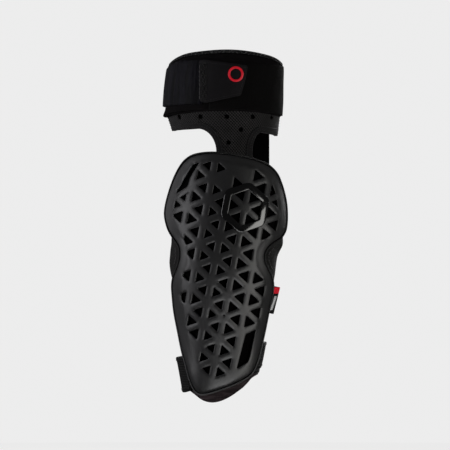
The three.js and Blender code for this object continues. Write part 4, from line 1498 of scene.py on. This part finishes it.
for k, share in enumerate((-0.44, 0.44)):
    z = np.linspace(*panel_sewn, 80)
    angle = 180 - seen_angle(back_panel_side + share * back_panel_width, z, back_panel_wall)
    path, row_name = on_arm(angle, z, back_panel_wall + 0.0002), f"back_panel_stitches_{k + 1}"
    stitch_row(row_name, black_thread, path, outwards(angle), 0.0021, 0.0009, 0.00025)
hem_angles = np.linspace(112, 248, 160)
path = on_sleeve((hem_angles + 180) % 360 - 180, sleeve_top(hem_angles) - 0.005)
stitch_row("sleeve_hem_stitches", black_thread, path, outwards(hem_angles), 0.0022, 0.0008, 0.00026)

# Side label
# A small woven tag is folded once and caught in the sleeve's side seam on the right.
# It is bare apart from a red end and a plain white stripe of close stitches.
label_width, label_height, label_top, label_thickness = 0.0073, 0.027, 0.071, 0.0008
label_lean, red_from, red_to = 0.0017, 0.0013, 0.0077
stripe_half, stripe_lean, stripe_place, stripe_rows = 0.0013, 0.0021, 0.52, 26


def label_seam(z):
    """How far to the side the sleeve's seam lies at a height."""
    return on_arm(90, z, sleeve_wall)[..., 0]


label_bottom = -label_top - label_height
high_seam, low_seam = float(label_seam(-label_top)), float(label_seam(label_bottom))
label_slope = (high_seam - low_seam) / label_height
label_fall = label_slope * label_width
label_corners = [
    (low_seam, label_bottom),
    (low_seam + label_width - label_lean, label_bottom - label_fall),
    (high_seam + label_width, -label_top - label_fall),
    (high_seam, -label_top),
]
label_y = float(arm_at(-label_top - label_height / 2)[1])
label_weave, tree, shader = new_finish("label_weave", (0.01, 0.01, 0.01), 0.7)
height = node(tree, "ShaderNodeSeparateXYZ", Vector=place_on(tree)).outputs["Z"]
red_end = sums(tree, "GREATER_THAN", height, -label_top - red_to)
red_end = sums(tree, "MULTIPLY", red_end, sums(tree, "LESS_THAN", height, -label_top - red_from))
colours = node(tree, "ShaderNodeMix", {"data_type": "RGBA"}, i0=red_end)
colours.inputs[6].default_value = (0.003, 0.003, 0.0035, 1)
colours.inputs[7].default_value = (0.8, 0.012, 0.03, 1)
# Painted glow: the label's colours also feed its emission, so the red end shines by itself,
# brighter than its lighting makes it.
for socket in ("Base Color", "Emission Color"):
    tree.links.new(colours.outputs[2], shader.inputs[socket])
shader.inputs["Emission Strength"].default_value = 0.3
relief(tree, shader, woven(tree, (0.0006,), (0.0005, 90)), 0.5, 0.0002)
label = cut_sheet(
    "side_label_weave",
    label_weave,
    even_loop(soften(polygon(label_corners), 3), 0.0007),
    [],
    lambda plan, fronts, out: np.stack([plan[:, 0], label_y - out, plan[:, 1]], 1),
    all_at(label_thickness / 2),
    all_at(-label_thickness / 2),
    grid=0.001,
    edge=0.00025,
)
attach(label, "root")
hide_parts("side_label")

rows = np.arange(stripe_rows)
z = np.linspace(label_bottom + 0.0035, -label_top - 0.0095, stripe_rows)
middle = label_seam(z) + label_width * stripe_place + 0.0007
middle = middle - stripe_lean * (1 - rows / stripe_rows)
x = middle + np.where(rows % 2, stripe_half, -stripe_half)
y = np.full(stripe_rows, label_y - label_thickness / 2 - 0.0001)
turns = np.stack([x, y, z - label_fall * stripe_place], 1)
at = np.linspace(0, stripe_rows - 1, 400)
stripe = np.stack([np.interp(at, rows, turns[:, k]) for k in range(3)], 1)
forwards = np.tile([0.0, -1.0, 0.0], (len(stripe), 1))
white_thread, shader = thread_finish("white_thread", (0.5, 0.5, 0.5), (0.8, 0.8, 0.8), 0.5, 0.0005)
# Painted glow: a white emission makes the stripe's thread shine by itself, brighter than its
# lighting makes it.
self_lit(shader, (0.8, 0.8, 0.8), 0.35)
stitch_row("side_label_stripe", white_thread, stripe, forwards, 0.0009, 0.0001, 0.0003)
